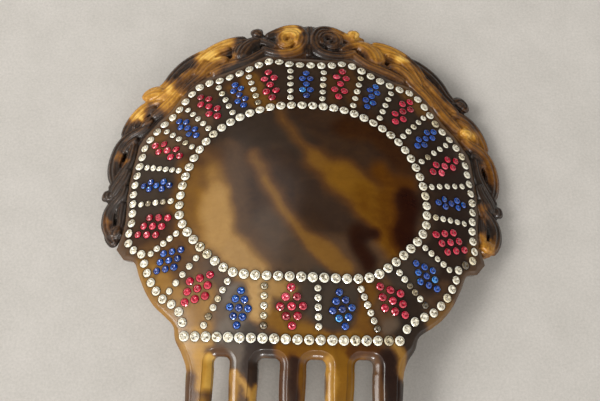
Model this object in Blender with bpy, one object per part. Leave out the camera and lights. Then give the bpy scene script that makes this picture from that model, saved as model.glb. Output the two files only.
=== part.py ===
"""Decorative hair comb of the mantilla type, in celluloid with paste stones.

The comb is one domed plate with five teeth, a carved and pierced scroll border
cemented round the crown, and clear, red and blue paste stones set in rows and
clusters.  A surface point is named by (u, v, w) in millimetres: u runs across
the comb along its cylindrical bow, v runs up the comb from the line of the base
row, w stands out of the front face.  The whole comb hangs on one empty, which
lays it on its back on the plane z = 0, front face up, crown towards +Y.
"""
import math

import bpy
import numpy as np
from mathutils import Vector
from mathutils.geometry import delaunay_2d_cdt

MM = 0.001

# ---- bow of the plate and the way it lies (mm, degrees)
BOW_RADIUS = 107.0          # across the comb, follows the back of the head
CREST_RADIUS = 214.0        # up the crown, the top leans back
LIE_ANGLE = -10.02          # pitch of the plate at the base row when it lies down
LIE_Y = -20.33              # base row to the middle of the comb's length
LIE_Z = 19.411              # height of the base row's crest above the table

# ---- plate and teeth
PLATE_T = 3.2               # crown thickness
TOOTH_T = 4.0               # tooth thickness at the root
TEETH = [(-27.75, 7.4), (-15.0, 7.8), (-1.25, 7.25), (11.9, 7.95), (25.95, 8.4)]     # centre and width of each, sawn by hand
TOOTH_TIP_W = 3.4
TOOTH_END = -68.0           # v of the tips
SLOT_TOP = -5.2             # v of the crown of each slot
SLOT_LIFT = [0.0, 0.0, 0.1, 0.6]    # how much further each slot was sawn
SLOT_CORNER = 1.7           # radius of the corners at the head of a slot
BEVEL_W = 2.4               # bevel round the teeth, across
BEVEL_D = 1.5               # bevel round the teeth, deep
EDGE_W = 1.2                # softened edge of the flanks
EDGE_D = 0.7

# ---- stones
ROW_STONE = 2.65            # diameters
INNER_STONE = 2.75
BASE_STONE = 2.85
DIVIDER_STONE = 1.95
RED_STONE = 2.3
BLUE_STONE = 2.05
OUTER_COUNT = 79
INNER_COUNT = 65
BASE_COUNT = 20
SEAT_DEPTH = 1.1            # depth of the channels that take the stones
SEAT_GAP = 0.1              # clearance round each cement bed
BED_TOP = -0.2              # top of the cement
STONE_TOP = 0.45            # top of the stones above the front face
BED_MARGIN = 0.06           # cement beyond the stones
WALL = 0.25                 # plate left standing between two channels
BED_STEP = 4.5              # longest straight edge of a cement bed

# ---- outlines.  The crown is laid out as one half, u > 0, and mirrored; the neck was set out by hand and leans left
OUTER_LEFT = [(-33.0, 3.9), (-34.3, 7.0), (-36.6, 9.1)]
OUTER_RIGHT = [(30.4, 4.5), (32.9, 6.9), (35.8, 8.4)]
OUTER_ROW = [(39.2, 10.3), (43.3, 15.0), (46.3, 20.8), (47.6, 24.6),
             (52.0, 27.3), (53.2, 31.2), (52.5, 36.5), (53.0, 47.5), (51.4, 59.0), (50.4, 63.2), (46.4, 68.2),
             (41.4, 72.8), (37.0, 79.4), (33.0, 83.0), (27.0, 84.0), (20.8, 86.3), (12.2, 90.4), (6.2, 89.1), (0.0, 88.8)]
INNER_ROW = [(0.0, 17.4), (12.4, 17.5), (18.8, 18.2), (22.0, 19.6), (27.8, 24.4), (33.5, 30.6), (36.2, 35.2),
             (36.8, 40.0), (36.4, 46.0), (34.8, 52.0), (32.5, 57.0), (29.0, 61.9), (25.2, 65.3), (20.5, 68.2),
             (15.4, 70.4), (9.2, 72.0), (0.0, 72.5)]
BASE_ENDS = (-32.2, 28.3)   # first and last stone of the base row
BASE_RISE = 1.1             # v of the last stone; the row is straight, at v = 0, up to the middle
# dividers, clockwise from the one right of the top panel: two points of its line, and how many stones
DIVIDERS = [((4.8, 87.0), (4.5, 75.9), 5), ((16.6, 86.4), (14.2, 74.9), 5), ((26.4, 82.2), (22.5, 71.4), 5),
            ((36.8, 74.5), (29.8, 65.6), 5), ((43.4, 65.4), (35.2, 57.4), 5), ((49.0, 52.4), (39.3, 49.7), 5),
            ((50.3, 39.6), (40.1, 39.5), 5), ((44.5, 23.2), (36.0, 29.2), 5), ((36.2, 11.6), (27.4, 21.3), 6),
            ((22.0, 3.4), (16.5, 15.6), 6), ((5.3, 3.5), (4.7, 14.6), 5), ((-9.8, 3.1), (-10.1, 14.0), 5),
            ((-26.8, 2.8), (-20.8, 15.2), 6), ((-37.8, 12.9), (-31.0, 21.6), 5), ((-44.8, 24.7), (-37.4, 30.2), 5),
            ((-50.1, 41.5), (-39.9, 41.2), 5), ((-49.7, 54.5), (-39.1, 51.6), 6), ((-43.8, 66.7), (-35.4, 59.9), 5),
            ((-37.3, 73.8), (-30.1, 65.6), 5), ((-27.4, 80.1), (-22.6, 70.3), 5), ((-18.3, 83.9), (-14.8, 73.2), 5),
            ((-5.6, 86.4), (-5.2, 75.4), 5)]
# clusters, clockwise from the top: centre, and the direction of the long axis (seven stones) or the two
# directions of the lattice (nine stones), in degrees.  They alternate blue and red.
CLUSTERS = [(-0.5, 80.9, 92), (10.0, 82.0, 84), (19.9, 79.0, 72), (30.0, 75.4, 61), (37.3, 66.7, 50), (43.5, 58.2, 37),
            (45.3, 45.4, 8), (44.6, 32.4, 16, -52), (36.5, 20.6, -16, -76), (26.1, 12.3, -14, -76), (11.7, 8.9, -49, -108),
            (-2.3, 8.8, -56, -117), (-16.9, 8.2, -66, -122), (-29.3, 13.5, 17, -100), (-39.2, 21.9, 9, -108),
            (-45.0, 33.6, -7, -124), (-45.2, 47.3, 172), (-42.8, 59.4, 148), (-36.7, 66.6, 134), (-30.4, 73.9, 126),
            (-21.0, 77.2, 111), (-11.6, 80.6, 99)]
RED_SEVEN = (2.6, 1.5)      # pitch along the axis, half the spacing across
BLUE_SEVEN = (2.25, 1.2)
RED_NINE = 3.1              # pitch of the lattice
BLUE_NINE = 2.75
CROWN_EDGE = [(57.3, 27.4), (56.0, 31.5), (55.1, 36.8), (55.5, 47.7), (54.0, 59.6), (52.9, 64.6), (48.5, 70.1),
              (43.6, 74.8), (39.2, 81.4), (34.6, 85.4), (27.7, 86.7), (21.8, 88.9), (12.9, 93.1), (6.4, 91.8), (0.0, 91.6)]
FLANK = [(38.8, 5.6), (42.6, 8.8), (45.8, 13.0), (48.4, 17.9), (50.6, 22.6), (54.6, 23.9)]
NECK_RIGHT = [(30.06, -14.0), (30.15, -8.8), (31.4, -4.6), (33.6, -1.0), (34.6, 2.6)]
NECK_LEFT = [(-31.38, -14.0), (-31.45, -9.2), (-33.2, -4.9), (-35.4, -1.0), (-36.0, 2.8)]
BORDER_OUT = [(57.9, 29.6), (60.5, 30.4), (63.1, 34.6), (63.9, 39.2), (63.7, 43.4), (65.2, 46.0), (65.1, 48.4),
              (63.9, 51.2), (64.8, 58.3), (64.0, 64.3), (63.2, 68.5), (60.8, 74.5), (57.7, 79.2), (53.9, 82.0),
              (53.6, 85.2), (51.8, 87.6), (48.9, 87.3), (46.4, 90.8), (44.3, 94.2), (41.0, 96.5), (36.5, 98.8), (32.0, 100.6),
              (27.2, 102.3), (23.3, 103.0), (19.2, 102.4), (18.7, 104.5), (16.4, 105.9), (13.6, 104.2), (8.9, 106.0),
              (4.4, 107.6), (0.0, 109.0)]
BORDER_GAP = 0.1
BORDER_TOP = 2.0            # height of the carving above the front face
BORDER_EDGE = -0.9
BORDER_BACK = -3.0
# piercings of the border: centre, half length, half width, direction (degrees)
PIERCINGS = [(27.4, 94.0, 3.0, 1.2, -20.0), (14.6, 97.6, 1.5, 1.0, 60.0), (3.9, 96.6, 1.9, 1.1, 20.0),
             (59.3, 61.5, 2.0, 1.0, 80.0), (59.0, 36.0, 2.4, 0.9, 84.0)]


# ------------------------------------------------------------------ the bowed surface
def surface(u, v, w):
    """Point of the comb, in millimetres, in the frame whose origin is the base row's crest."""
    a = max(v, 0.0) / CREST_RADIUS
    y = CREST_RADIUS * math.sin(a) + min(v, 0.0)
    z = CREST_RADIUS * (math.cos(a) - 1.0)
    centre = None
    if v < SLOT_TOP - 3.0:                      # each tooth is straight-sided and flat
        centre = min((c for c, _ in TEETH), key=lambda c: abs(c - u))
    b = (u if centre is None else centre) / BOW_RADIUS
    side = (BOW_RADIUS + w) * math.sin(b)
    drop = (BOW_RADIUS + w) * math.cos(b) - BOW_RADIUS
    if centre is not None:
        side += (u - centre) * math.cos(b)
        drop -= (u - centre) * math.sin(b)
    return Vector((side, y + drop * math.sin(a), z + drop * math.cos(a))) * MM


# ------------------------------------------------------------------ plane curves
def spline(points, closed=False, step=1.0):
    """Catmull-Rom curve through the points, evenly resampled at about step."""
    p = [np.array(q, float) for q in points]
    n = len(p)
    dense = []
    for i in range(n if closed else n - 1):
        if closed:
            a, b, c, d = p[(i - 1) % n], p[i], p[(i + 1) % n], p[(i + 2) % n]
        else:
            b, c = p[i], p[i + 1]
            a = p[i - 1] if i else 2 * b - c
            d = p[i + 2] if i + 2 < n else 2 * c - b
        for k in range(12):
            t = k / 12.0
            dense.append(0.5 * (2 * b + (c - a) * t + (2 * a - 5 * b + 4 * c - d) * t * t + (3 * b - a - 3 * c + d) * t ** 3))
    dense.append(p[0] if closed else p[-1])
    return resample(np.array(dense), step=step)


def resample(path, count=None, step=None):
    seg = np.hypot(*(path[1:] - path[:-1]).T)
    s = np.concatenate([[0.0], np.cumsum(seg)])
    if count is None:
        count = max(2, int(round(s[-1] / step)) + 1)
    t = np.linspace(0.0, s[-1], count)
    return np.stack([np.interp(t, s, path[:, 0]), np.interp(t, s, path[:, 1])], -1)


def mirrored(half):
    """Whole curve, left to right, from its right half given either way."""
    half = [tuple(q) for q in half]
    if half[0][0] == 0.0:
        half = half[::-1]
    return [(-x, y) for x, y in half] + [q for q in half[::-1] if q[0] > 0.0]


def normals(path, closed=False):
    if closed:
        d = np.roll(path, -1, 0) - np.roll(path, 1, 0)
    else:
        d = np.gradient(path, axis=0)
    d /= np.hypot(*d.T)[:, None]
    return np.stack([-d[:, 1], d[:, 0]], -1)


def inside(poly, pts):
    """Which points lie inside the polygon."""
    x, y = pts[:, 0], pts[:, 1]
    hit = np.zeros(len(pts), bool)
    for (x1, y1), (x2, y2) in zip(poly, np.roll(poly, -1, 0)):
        if y1 == y2:
            continue
        c = ((y1 > y) != (y2 > y)) & (x < (x2 - x1) * (y - y1) / (y2 - y1) + x1)
        hit ^= c
    return hit


def distance(poly, pts, closed=True):
    """Distance from each point to the outline."""
    a = np.asarray(poly, float)
    b = np.roll(a, -1, 0)
    if not closed:
        a, b = a[:-1], b[:-1]
    ab = b - a
    t = ((pts[:, None] - a) * ab).sum(-1) / np.maximum((ab * ab).sum(-1), 1e-9)
    q = a + np.clip(t, 0, 1)[..., None] * ab
    return np.sqrt(((pts[:, None] - q) ** 2).sum(-1)).min(1)


# ------------------------------------------------------------------ solids from plane outlines
def triangulate(loops, extra):
    verts, edges = [], []
    for loop in loops:
        base = len(verts)
        verts += [Vector((float(x), float(y))) for x, y in loop]
        edges += [(base + i, base + (i + 1) % len(loop)) for i in range(len(loop))]
    verts += [Vector((float(x), float(y))) for x, y in extra]
    out = delaunay_2d_cdt(verts, edges, [], 0, 1e-6, True)
    pts = np.array([tuple(q) for q in out[0]])
    tris = np.array([f for f in out[2] if len(f) == 3])
    a, b, c = pts[tris[:, 0]], pts[tris[:, 1]], pts[tris[:, 2]]
    turn = (b[:, 0] - a[:, 0]) * (c[:, 1] - a[:, 1]) - (b[:, 1] - a[:, 1]) * (c[:, 0] - a[:, 0])
    tris[turn < 0] = tris[turn < 0][:, ::-1]
    tris = tris[np.abs(turn) > 1e-7]
    return pts, tris


def solid(name, material, loops, top, back, extra=(), back_extra=(), wells=(), well_depth=0.0, smooth=40.0):
    """Closed solid between two sheets over an outline with holes.

    loops are the outline and its holes, top and back give w at each point, and wells
    are polygons whose floor lies well_depth below the top sheet, with upright walls.
    """
    verts, faces, index = [], [], {}

    def vertex(key, u, v, w):
        if key not in index:
            index[key] = len(verts)
            verts.append(surface(u, v, w))
        return index[key]

    def key(p):
        return (round(p[0], 5), round(p[1], 5))

    def keep(pts, tris):
        mid = pts[tris].mean(1)
        ok = inside(loops[0], mid)
        for hole in loops[1:]:
            ok &= ~inside(hole, mid)
        return tris[ok], mid[ok]

    pts, tris = triangulate(list(loops) + list(wells), extra)
    tris, mid = keep(pts, tris)
    w = top(pts)
    sunk = np.zeros(len(tris), bool)
    for well in wells:
        sunk |= inside(well, mid)
    owner = {}
    for tri, low in zip(tris, sunk):
        ids = []
        for i in tri:
            u, v = pts[i]
            ids.append(vertex(("f" if low else "t",) + key(pts[i]), u, v, w[i] - (well_depth if low else 0.0)))
        faces.append(ids)
        for k in range(3):
            owner[(tri[k], tri[(k + 1) % 3])] = low
    for (i, j), low in owner.items():
        other = owner.get((j, i))
        if other is None or low or not other:
            continue                                   # the wall of a well, met once from its upper side
        a, b = key(pts[i]), key(pts[j])
        ta, tb = vertex(("t",) + a, *pts[i], w[i]), vertex(("t",) + b, *pts[j], w[j])
        fa, fb = vertex(("f",) + a, *pts[i], w[i] - well_depth), vertex(("f",) + b, *pts[j], w[j] - well_depth)
        faces += [[tb, ta, fa], [tb, fa, fb]]
    rim = [(i, j) for (i, j) in owner if (j, i) not in owner]

    bpts, btris = triangulate(loops, back_extra)
    btris, _ = keep(bpts, btris)
    bw = back(bpts)
    for tri in btris:
        faces.append([vertex(("b",) + key(bpts[i]), *bpts[i], bw[i]) for i in tri[::-1]])
    level = {key(p): z for p, z in zip(bpts, bw)}
    for i, j in rim:
        a, b = key(pts[i]), key(pts[j])
        ta, tb = vertex(("t",) + a, *pts[i], w[i]), vertex(("t",) + b, *pts[j], w[j])
        ba, bb = vertex(("b",) + a, *pts[i], level[a]), vertex(("b",) + b, *pts[j], level[b])
        faces += [[tb, ta, ba], [tb, ba, bb]]

    mesh = bpy.data.meshes.new(name)
    mesh.from_pydata(verts, [], faces)
    mesh.validate()
    mesh.shade_smooth()
    mesh.set_sharp_from_angle(angle=math.radians(smooth))
    mesh.materials.append(material)
    obj = bpy.data.objects.new(name, mesh)
    obj.parent = comb_frame
    bpy.context.scene.collection.objects.link(obj)
    return obj


def flat(w):
    return lambda pts: np.full(len(pts), float(w))


def stones_solid(name, material, outline, centres, diameter, turn=0.0, table=True, holes=()):
    """A cement bed with its paste stones: six facets round a table on the large ones, to a point on the small ones."""
    extra, height = [], {}
    for x, y in centres:
        for s in range(6):
            a = turn + s * math.pi / 3.0
            p = (round(x + diameter / 2.0 * math.cos(a), 5), round(y + diameter / 2.0 * math.sin(a), 5))
            extra.append(p)
            height[p] = BED_TOP
        for s in range(3 if table else 1):
            a = turn + s * math.pi / 1.5
            r = diameter * 0.26 if table else 0.0
            p = (round(x + r * math.cos(a), 5), round(y + r * math.sin(a), 5))
            extra.append(p)
            height[p] = STONE_TOP

    def top(pts):
        near = np.array(list(height.keys()))
        value = np.array(list(height.values()))
        d = ((pts[:, None] - near) ** 2).sum(-1)
        i = d.argmin(1)
        return np.where(d[np.arange(len(pts)), i] < 1e-6, value[i], BED_TOP)

    return solid(name, material, [outline] + list(holes), top, flat(SEAT_GAP - SEAT_DEPTH), extra=extra, smooth=12.0)


def material(name, colour, roughness, metallic=0.0, alpha=1.0):
    m = bpy.data.materials.new(name)
    m.use_nodes = True
    b = m.node_tree.nodes["Principled BSDF"]
    b.inputs["Base Color"].default_value = (*colour, 1.0)
    b.inputs["Roughness"].default_value = roughness
    b.inputs["Metallic"].default_value = metallic
    b.inputs["Alpha"].default_value = alpha
    return m


# ------------------------------------------------------------------ clean scene and the comb's own frame
for obj in list(bpy.data.objects):
    bpy.data.objects.remove(obj, do_unlink=True)

comb_frame = bpy.data.objects.new("comb_frame", None)
comb_frame.location = (0.0, LIE_Y * MM, LIE_Z * MM)
comb_frame.rotation_euler = (math.radians(-LIE_ANGLE), 0.0, 0.0)
bpy.context.scene.collection.objects.link(comb_frame)

SHELL = material("celluloid_plate", (0.20, 0.09, 0.025), 0.18)
CARVING = material("celluloid_carving", (0.33, 0.16, 0.04), 0.25)
CLEAR = material("clear_paste", (0.86, 0.84, 0.78), 0.08)
RED = material("red_paste", (0.60, 0.02, 0.06), 0.08)
BLUE = material("blue_paste", (0.02, 0.06, 0.40), 0.08)

# ------------------------------------------------------------------ rows and clusters, laid out in the plane
def strip(path, half, gap, ends=0.0, closed=False):
    """Outline of the bed that runs under a row: two offset curves, plus gap all round."""
    n = normals(path, closed)
    h = half + gap
    if closed:
        return [path - n * h, path + n * h]            # the path runs anticlockwise, so the outer loop is first
    first, last = path[0] - path[1], path[-1] - path[-2]
    keep, path = path, path.copy()
    path[0] = path[0] + first / np.hypot(*first) * (ends + gap)
    path[-1] = path[-1] + last / np.hypot(*last) * (ends + gap)
    path = np.concatenate([path[:1], keep[:1], path[1:-1], keep[-1:], path[-1:]])
    n = np.concatenate([n[:1] * 0.65, n, n[-1:] * 0.65])    # the ends are chamfered
    return [np.concatenate([path + n * h, (path - n * h)[::-1]])]


def hull(points):
    """Convex outline round the points, anticlockwise."""
    pts = sorted(map(tuple, points))

    def chain(seq):
        out = []
        for p in seq:
            while len(out) > 1 and ((out[-1][0] - out[-2][0]) * (p[1] - out[-2][1])
                                    - (out[-1][1] - out[-2][1]) * (p[0] - out[-2][0])) <= 1e-9:
                out.pop()
            out.append(p)
        return out[:-1]

    return np.array(chain(pts) + chain(pts[::-1]))


outer_half = [(x, y) for x, y in OUTER_ROW]
outer_path = spline(OUTER_LEFT + mirrored(outer_half) + OUTER_RIGHT[::-1], step=0.25)
outer_at = resample(outer_path, count=OUTER_COUNT)
inner_ring = INNER_ROW + [(-x, y) for x, y in INNER_ROW[-2:0:-1]]
inner_path = spline(inner_ring, closed=True, step=0.25)
inner_at = resample(inner_path, count=INNER_COUNT + 1)[:-1]
base_u = np.linspace(*BASE_ENDS, BASE_COUNT)
base_at = np.stack([base_u, BASE_RISE * (np.maximum(base_u, 0.0) / BASE_ENDS[1]) ** 1.5], -1)

jobs = []        # name, material, function of the gap that gives the outline, stones, diameter, turn, table


def divided(poly, step):
    """The outline with its long edges divided, so that it follows the bow."""
    out = []
    for a, b in zip(poly, np.roll(poly, -1, 0)):
        n = max(1, int(math.ceil(np.hypot(*(b - a)) / step)))
        out += [a + (b - a) * k / n for k in range(n)]
    return np.array(out)


def bed(at, diameter):
    """Outline, as a function of the gap, of a convex bed under the stones."""
    def outline(gap):
        r = (diameter / 2 + BED_MARGIN + gap) / math.cos(math.pi / 8)
        ring = [(r * math.cos(t), r * math.sin(t)) for t in np.linspace(0, 2 * math.pi, 9)[:-1] + math.pi / 8]
        return [divided(hull([p + q for p in at for q in ring]), BED_STEP)]
    return outline


row_half = ROW_STONE / 2 + BED_MARGIN
jobs.append(("outer_row", CLEAR, lambda gap: strip(outer_at, row_half, gap, row_half), outer_at, ROW_STONE, 0.0, True))
jobs.append(("inner_row", CLEAR, lambda gap: strip(inner_at, INNER_STONE / 2 + BED_MARGIN, gap, closed=True),
             inner_at, INNER_STONE, 0.0, True))
jobs.append(("base_row", CLEAR, bed(base_at, BASE_STONE), base_at, BASE_STONE, 0.0, True))
row_wells = [loop for job in jobs for loop in job[2](SEAT_GAP)]

for k, (a, b, count) in enumerate(DIVIDERS):
    a, b = np.array(a), np.array(b)
    along = (b - a) / np.hypot(*(b - a))
    line = a + along * np.linspace(-6.0, np.hypot(*(b - a)) + 6.0, 600)[:, None]
    free = np.min([distance(loop, line) for loop in row_wells], 0)
    mid = np.abs(line - (a + b) / 2).sum(1).argmin()
    held = free < (DIVIDER_STONE / 2 + BED_MARGIN + SEAT_GAP) * 1.05 + WALL
    first = mid - held[:mid][::-1].argmax()
    last = mid + held[mid:].argmax() - 1
    at = line[first] + (line[last] - line[first]) * np.linspace(0, 1, count)[:, None]
    size = min(DIVIDER_STONE, 0.93 * np.hypot(*(at[1] - at[0])))
    jobs.append(("divider_row_%02d" % (k + 1), CLEAR, bed(at, size), at, size, math.atan2(along[1], along[0]) + math.pi / 6, False))
row_wells += [job[2](SEAT_GAP)[0] for job in jobs[3:]]

for k, entry in enumerate(CLUSTERS):
    red = k % 2 == 1
    centre = np.array(entry[:2])
    one = np.array((math.cos(math.radians(entry[2])), math.sin(math.radians(entry[2]))))
    if len(entry) == 3:                                     # seven stones: 1, 2, 1, 2, 1
        pitch, across = RED_SEVEN if red else BLUE_SEVEN
        side = np.array((one[1], -one[0]))
        at = [centre + one * (i * pitch) + side * (j * across)
              for i, j in ((2, 0), (1, 1), (1, -1), (0, 0), (-1, 1), (-1, -1), (-2, 0))]
    else:                                                   # nine stones: a sheared three by three
        two = np.array((math.cos(math.radians(entry[3])), math.sin(math.radians(entry[3]))))
        pitch = RED_NINE if red else BLUE_NINE
        at = [centre + (one * i + two * j) * pitch for i in (-1, 0, 1) for j in (-1, 0, 1)]
    at = np.array(at)
    stone = RED_STONE if red else BLUE_STONE
    for _ in range(40):                                     # ease the cluster off any channel it comes too near
        ring = bed(at, stone)(SEAT_GAP)[0]
        ring = np.concatenate([ring, (ring + np.roll(ring, -1, 0)) / 2])
        push = np.zeros(2)
        for loop in row_wells:
            a, ab = loop, np.roll(loop, -1, 0) - loop
            t = np.clip(((ring[:, None] - a) * ab).sum(-1) / (ab * ab).sum(-1), 0, 1)
            gap = ring[:, None] - (a + t[..., None] * ab)
            d = np.sqrt((gap ** 2).sum(-1))
            i, j = np.unravel_index(d.argmin(), d.shape)
            near = d[i, j] * (-1 if inside(loop, ring[i:i + 1])[0] else 1)
            if near < WALL and np.hypot(*(loop.mean(0) - centre)) < 60:
                away = at.mean(0) - (a + t[..., None] * ab)[i, j]
                push += away / np.hypot(*away) * (WALL - near) * 0.5
        if not push.any():
            break
        at = at + push
    jobs.append(("%s_cluster_%02d" % ("red" if red else "blue", k + 1), RED if red else BLUE, bed(at, stone), at, stone,
                 math.radians(entry[2]), False))

wells = []
for name, mat, outline, at, diameter, turn, table in jobs:
    loops = outline(0.0)
    stones_solid(name, mat, loops[0], at, diameter, turn, table, holes=loops[1:])
    wells.append(outline(SEAT_GAP))

# ------------------------------------------------------------------ the plate with its teeth
tooth_v = np.linspace(SLOT_TOP - 3.6, TOOTH_END + TOOTH_TIP_W / 2, 8)


def half_width(k, v):
    t = np.clip((-12.0 - v) / (-12.0 - TOOTH_END), 0, 1)
    return (TEETH[k][1] + (TOOTH_TIP_W - TEETH[k][1]) * t) / 2


def slot(k):
    """Centre and half width of the slot between tooth k and tooth k + 1, at its head."""
    a, b = TEETH[k][0] + TEETH[k][1] / 2, TEETH[k + 1][0] - TEETH[k + 1][1] / 2
    return (a + b) / 2, (b - a) / 2


def slot_head(k, grow, count):
    """Head of slot k, left to right: a flat crown between two round corners, grown by the bevel."""
    x, r = slot(k)
    side, corner, top = r - SLOT_CORNER, SLOT_CORNER + grow, SLOT_TOP + SLOT_LIFT[k] - SLOT_CORNER
    turn = np.linspace(0, math.pi / 2, count)
    left = [(x - side - corner * math.cos(a), top + corner * math.sin(a)) for a in turn]
    return left + [(2 * x - u, v) for u, v in left[::-1]]


crown = spline(CROWN_EDGE, step=2.4)
loop = []
for k, (c, _) in enumerate(TEETH):
    r = half_width(k, tooth_v[-1])
    loop += [(c - half_width(k, v), v) for v in tooth_v]
    loop += [(c + r * math.sin(a), tooth_v[-1] - r * math.cos(a)) for a in np.linspace(-math.pi / 2, math.pi / 2, 7)[1:-1]]
    loop += [(c + half_width(k, v), v) for v in tooth_v[::-1]]
    if k < len(TEETH) - 1:
        loop += slot_head(k, 0.0, 5)
neck_right = spline(NECK_RIGHT + FLANK, step=1.9)
neck_left = spline(NECK_LEFT + [(-x, y) for x, y in FLANK], step=1.9)
del loop[-1]
loop += [tuple(q) for q in neck_right] + [tuple(q) for q in crown]
loop += [(-x, y) for x, y in crown[-2::-1]] + [tuple(q) for q in neck_left[::-1]]
plate_outline = np.array(loop[1:])

flat_wells = [np.asarray(loop) for pair in wells for loop in pair]


def grid(outline, step, clear, loops):
    lo, hi = outline.min(0), outline.max(0)
    pts = np.array([(x, y) for i, y in enumerate(np.arange(lo[1], hi[1], step * 0.87))
                    for x in np.arange(lo[0] + (i % 2) * step / 2, hi[0], step)])
    pts = pts[inside(outline, pts)]
    pts = pts[distance(outline, pts) > clear]
    for loop in loops:
        pts = pts[distance(loop, pts) > clear]
    return pts


def plate_top(pts):
    d = distance(plate_outline, pts)
    lower = np.clip((3.0 - pts[:, 1]) / 6.0, 0, 1)          # teeth and slot heads are bevelled
    crown = pts[:, 1] > 25.5                                # the crown edge is cut square for the border
    width = EDGE_W + (BEVEL_W - EDGE_W) * lower
    depth = np.where(crown, 0.0, EDGE_D + (BEVEL_D - EDGE_D) * lower)
    thin = 1.3 * np.clip((-15.0 - pts[:, 1]) / (-15.0 - TOOTH_END), 0, 1)
    return -depth * np.clip(1 - d / width, 0, 1) - thin


def plate_back(pts):
    t = np.clip((2.0 - pts[:, 1]) / 8.0, 0, 1)
    return -(PLATE_T + (TOOTH_T - PLATE_T) * t)


bevel = []
for k, (c, _) in enumerate(TEETH):
    for v in tooth_v:
        h = max(0.25, half_width(k, v) - BEVEL_W)
        bevel += [(c - h, v), (c + h, v)]
for k in range(len(TEETH) - 1):
    bevel += slot_head(k, BEVEL_W, 5)[1:-1]
for path, sign in ((spline(NECK_RIGHT[3:] + FLANK, step=4.0), 1), (spline(NECK_LEFT[3:] + [(-x, y) for x, y in FLANK], step=4.0), -1)):
    bevel += [tuple(q) for q in path + sign * normals(path) * EDGE_W]
bevel = np.array(bevel)
bevel = bevel[inside(plate_outline, bevel)]
for loop in flat_wells:
    bevel = bevel[distance(loop, bevel) > 0.3]

crown_pts = grid(plate_outline, 11.0, 1.6, flat_wells)
crown_pts = crown_pts[crown_pts[:, 1] > 2.0]
back_pts = grid(plate_outline, 11.0, 2.5, [])
back_pts = back_pts[back_pts[:, 1] > 2.0]
# the ring channel is one loop inside another, so it goes in as its two outlines
rings = [pair for pair in wells if len(pair) == 2]
single = [pair[0] for pair in wells if len(pair) == 1]


def solid_plate():
    """The plate, whose wells are the single outlines and the ring between the inner row's two outlines."""
    ring = rings[0]
    bridge = [np.asarray(q) for q in ring]
    verts, faces, index = [], [], {}

    def key(p):
        return (round(p[0], 5), round(p[1], 5))

    def vertex(tag, p, w):
        k = (tag,) + key(p)
        if k not in index:
            index[k] = len(verts)
            verts.append(surface(p[0], p[1], w))
        return index[k]

    pts, tris = triangulate([plate_outline] + bridge + single, np.concatenate([bevel, crown_pts]))
    mid = pts[tris].mean(1)
    ok = inside(plate_outline, mid)
    tris, mid = tris[ok], mid[ok]
    low = inside(bridge[0], mid) ^ inside(bridge[1], mid)
    for loop in single:
        low |= inside(loop, mid)
    w = plate_top(pts)
    owner = {}
    for tri, sunk in zip(tris, low):
        faces.append([vertex("f" if sunk else "t", pts[i], w[i] - (SEAT_DEPTH if sunk else 0.0)) for i in tri])
        for k in range(3):
            owner[(tri[k], tri[(k + 1) % 3])] = sunk
    for (i, j), sunk in owner.items():
        if (j, i) in owner and not sunk and owner[(j, i)]:
            ta, tb = vertex("t", pts[i], w[i]), vertex("t", pts[j], w[j])
            fa, fb = vertex("f", pts[i], w[i] - SEAT_DEPTH), vertex("f", pts[j], w[j] - SEAT_DEPTH)
            faces += [[tb, ta, fa], [tb, fa, fb]] if fa != ta else []
    bpts, btris = triangulate([plate_outline], back_pts)
    btris = btris[inside(plate_outline, bpts[btris].mean(1))]
    bw = plate_back(bpts)
    level = {key(p): z for p, z in zip(bpts, bw)}
    for tri in btris:
        faces.append([vertex("b", bpts[i], bw[i]) for i in tri[::-1]])
    for (i, j) in owner:
        if (j, i) not in owner:
            ta, tb = vertex("t", pts[i], w[i]), vertex("t", pts[j], w[j])
            ba, bb = vertex("b", pts[i], level[key(pts[i])]), vertex("b", pts[j], level[key(pts[j])])
            faces += [[tb, ta, ba], [tb, ba, bb]]
    mesh = bpy.data.meshes.new("comb_plate")
    mesh.from_pydata(verts, [], faces)
    mesh.validate()
    mesh.shade_smooth()
    mesh.set_sharp_from_angle(angle=math.radians(40.0))
    mesh.materials.append(SHELL)
    obj = bpy.data.objects.new("comb_plate", mesh)
    obj.parent = comb_frame
    bpy.context.scene.collection.objects.link(obj)
    return obj


solid_plate()

# ------------------------------------------------------------------ the carved border
inner_edge = (crown - normals(crown) * BORDER_GAP)[2:]
inner_edge[-1][0] = 0.0
outer_edge = spline(BORDER_OUT, step=1.5)
outer_edge[-1][0] = 0.0
right = [tuple(q) for q in outer_edge]                       # lower right end up to the apex
left = [(-x, y) for x, y in right[-2::-1]]
inner_left = [(-x, y) for x, y in inner_edge]
inner_right = [tuple(q) for q in inner_edge[-2::-1]]
border_outline = np.array(right + left + inner_left + inner_right)
holes = []
for x, y, a, b, deg in PIERCINGS:
    for sign in (1, -1):
        t = math.radians(deg)
        ring = [(a * math.cos(s), b * math.sin(s)) for s in np.linspace(0, 2 * math.pi, 9)[:-1]]
        holes.append(np.array([(sign * (x + p * math.cos(t) - q * math.sin(t)), y + p * math.sin(t) + q * math.cos(t))
                               for p, q in ring]))


def border_top(pts):
    d = distance(border_outline, pts)
    for hole in holes:
        d = np.minimum(d, distance(hole, pts) * 1.6)
    t = np.clip(d / 2.6, 0, 1)
    return BORDER_EDGE + (BORDER_TOP - BORDER_EDGE) * np.sqrt(1 - (1 - t) ** 2)


roll = grid(border_outline, 3.3, 1.0, holes)
solid("scroll_border", CARVING, [border_outline] + holes, border_top, flat(BORDER_BACK), extra=roll, smooth=50.0)

bpy.context.view_layer.update()
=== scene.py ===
import math

import bpy
import numpy as np
from mathutils import Matrix, Vector
from mathutils.geometry import delaunay_2d_cdt
from mathutils.kdtree import KDTree


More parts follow.
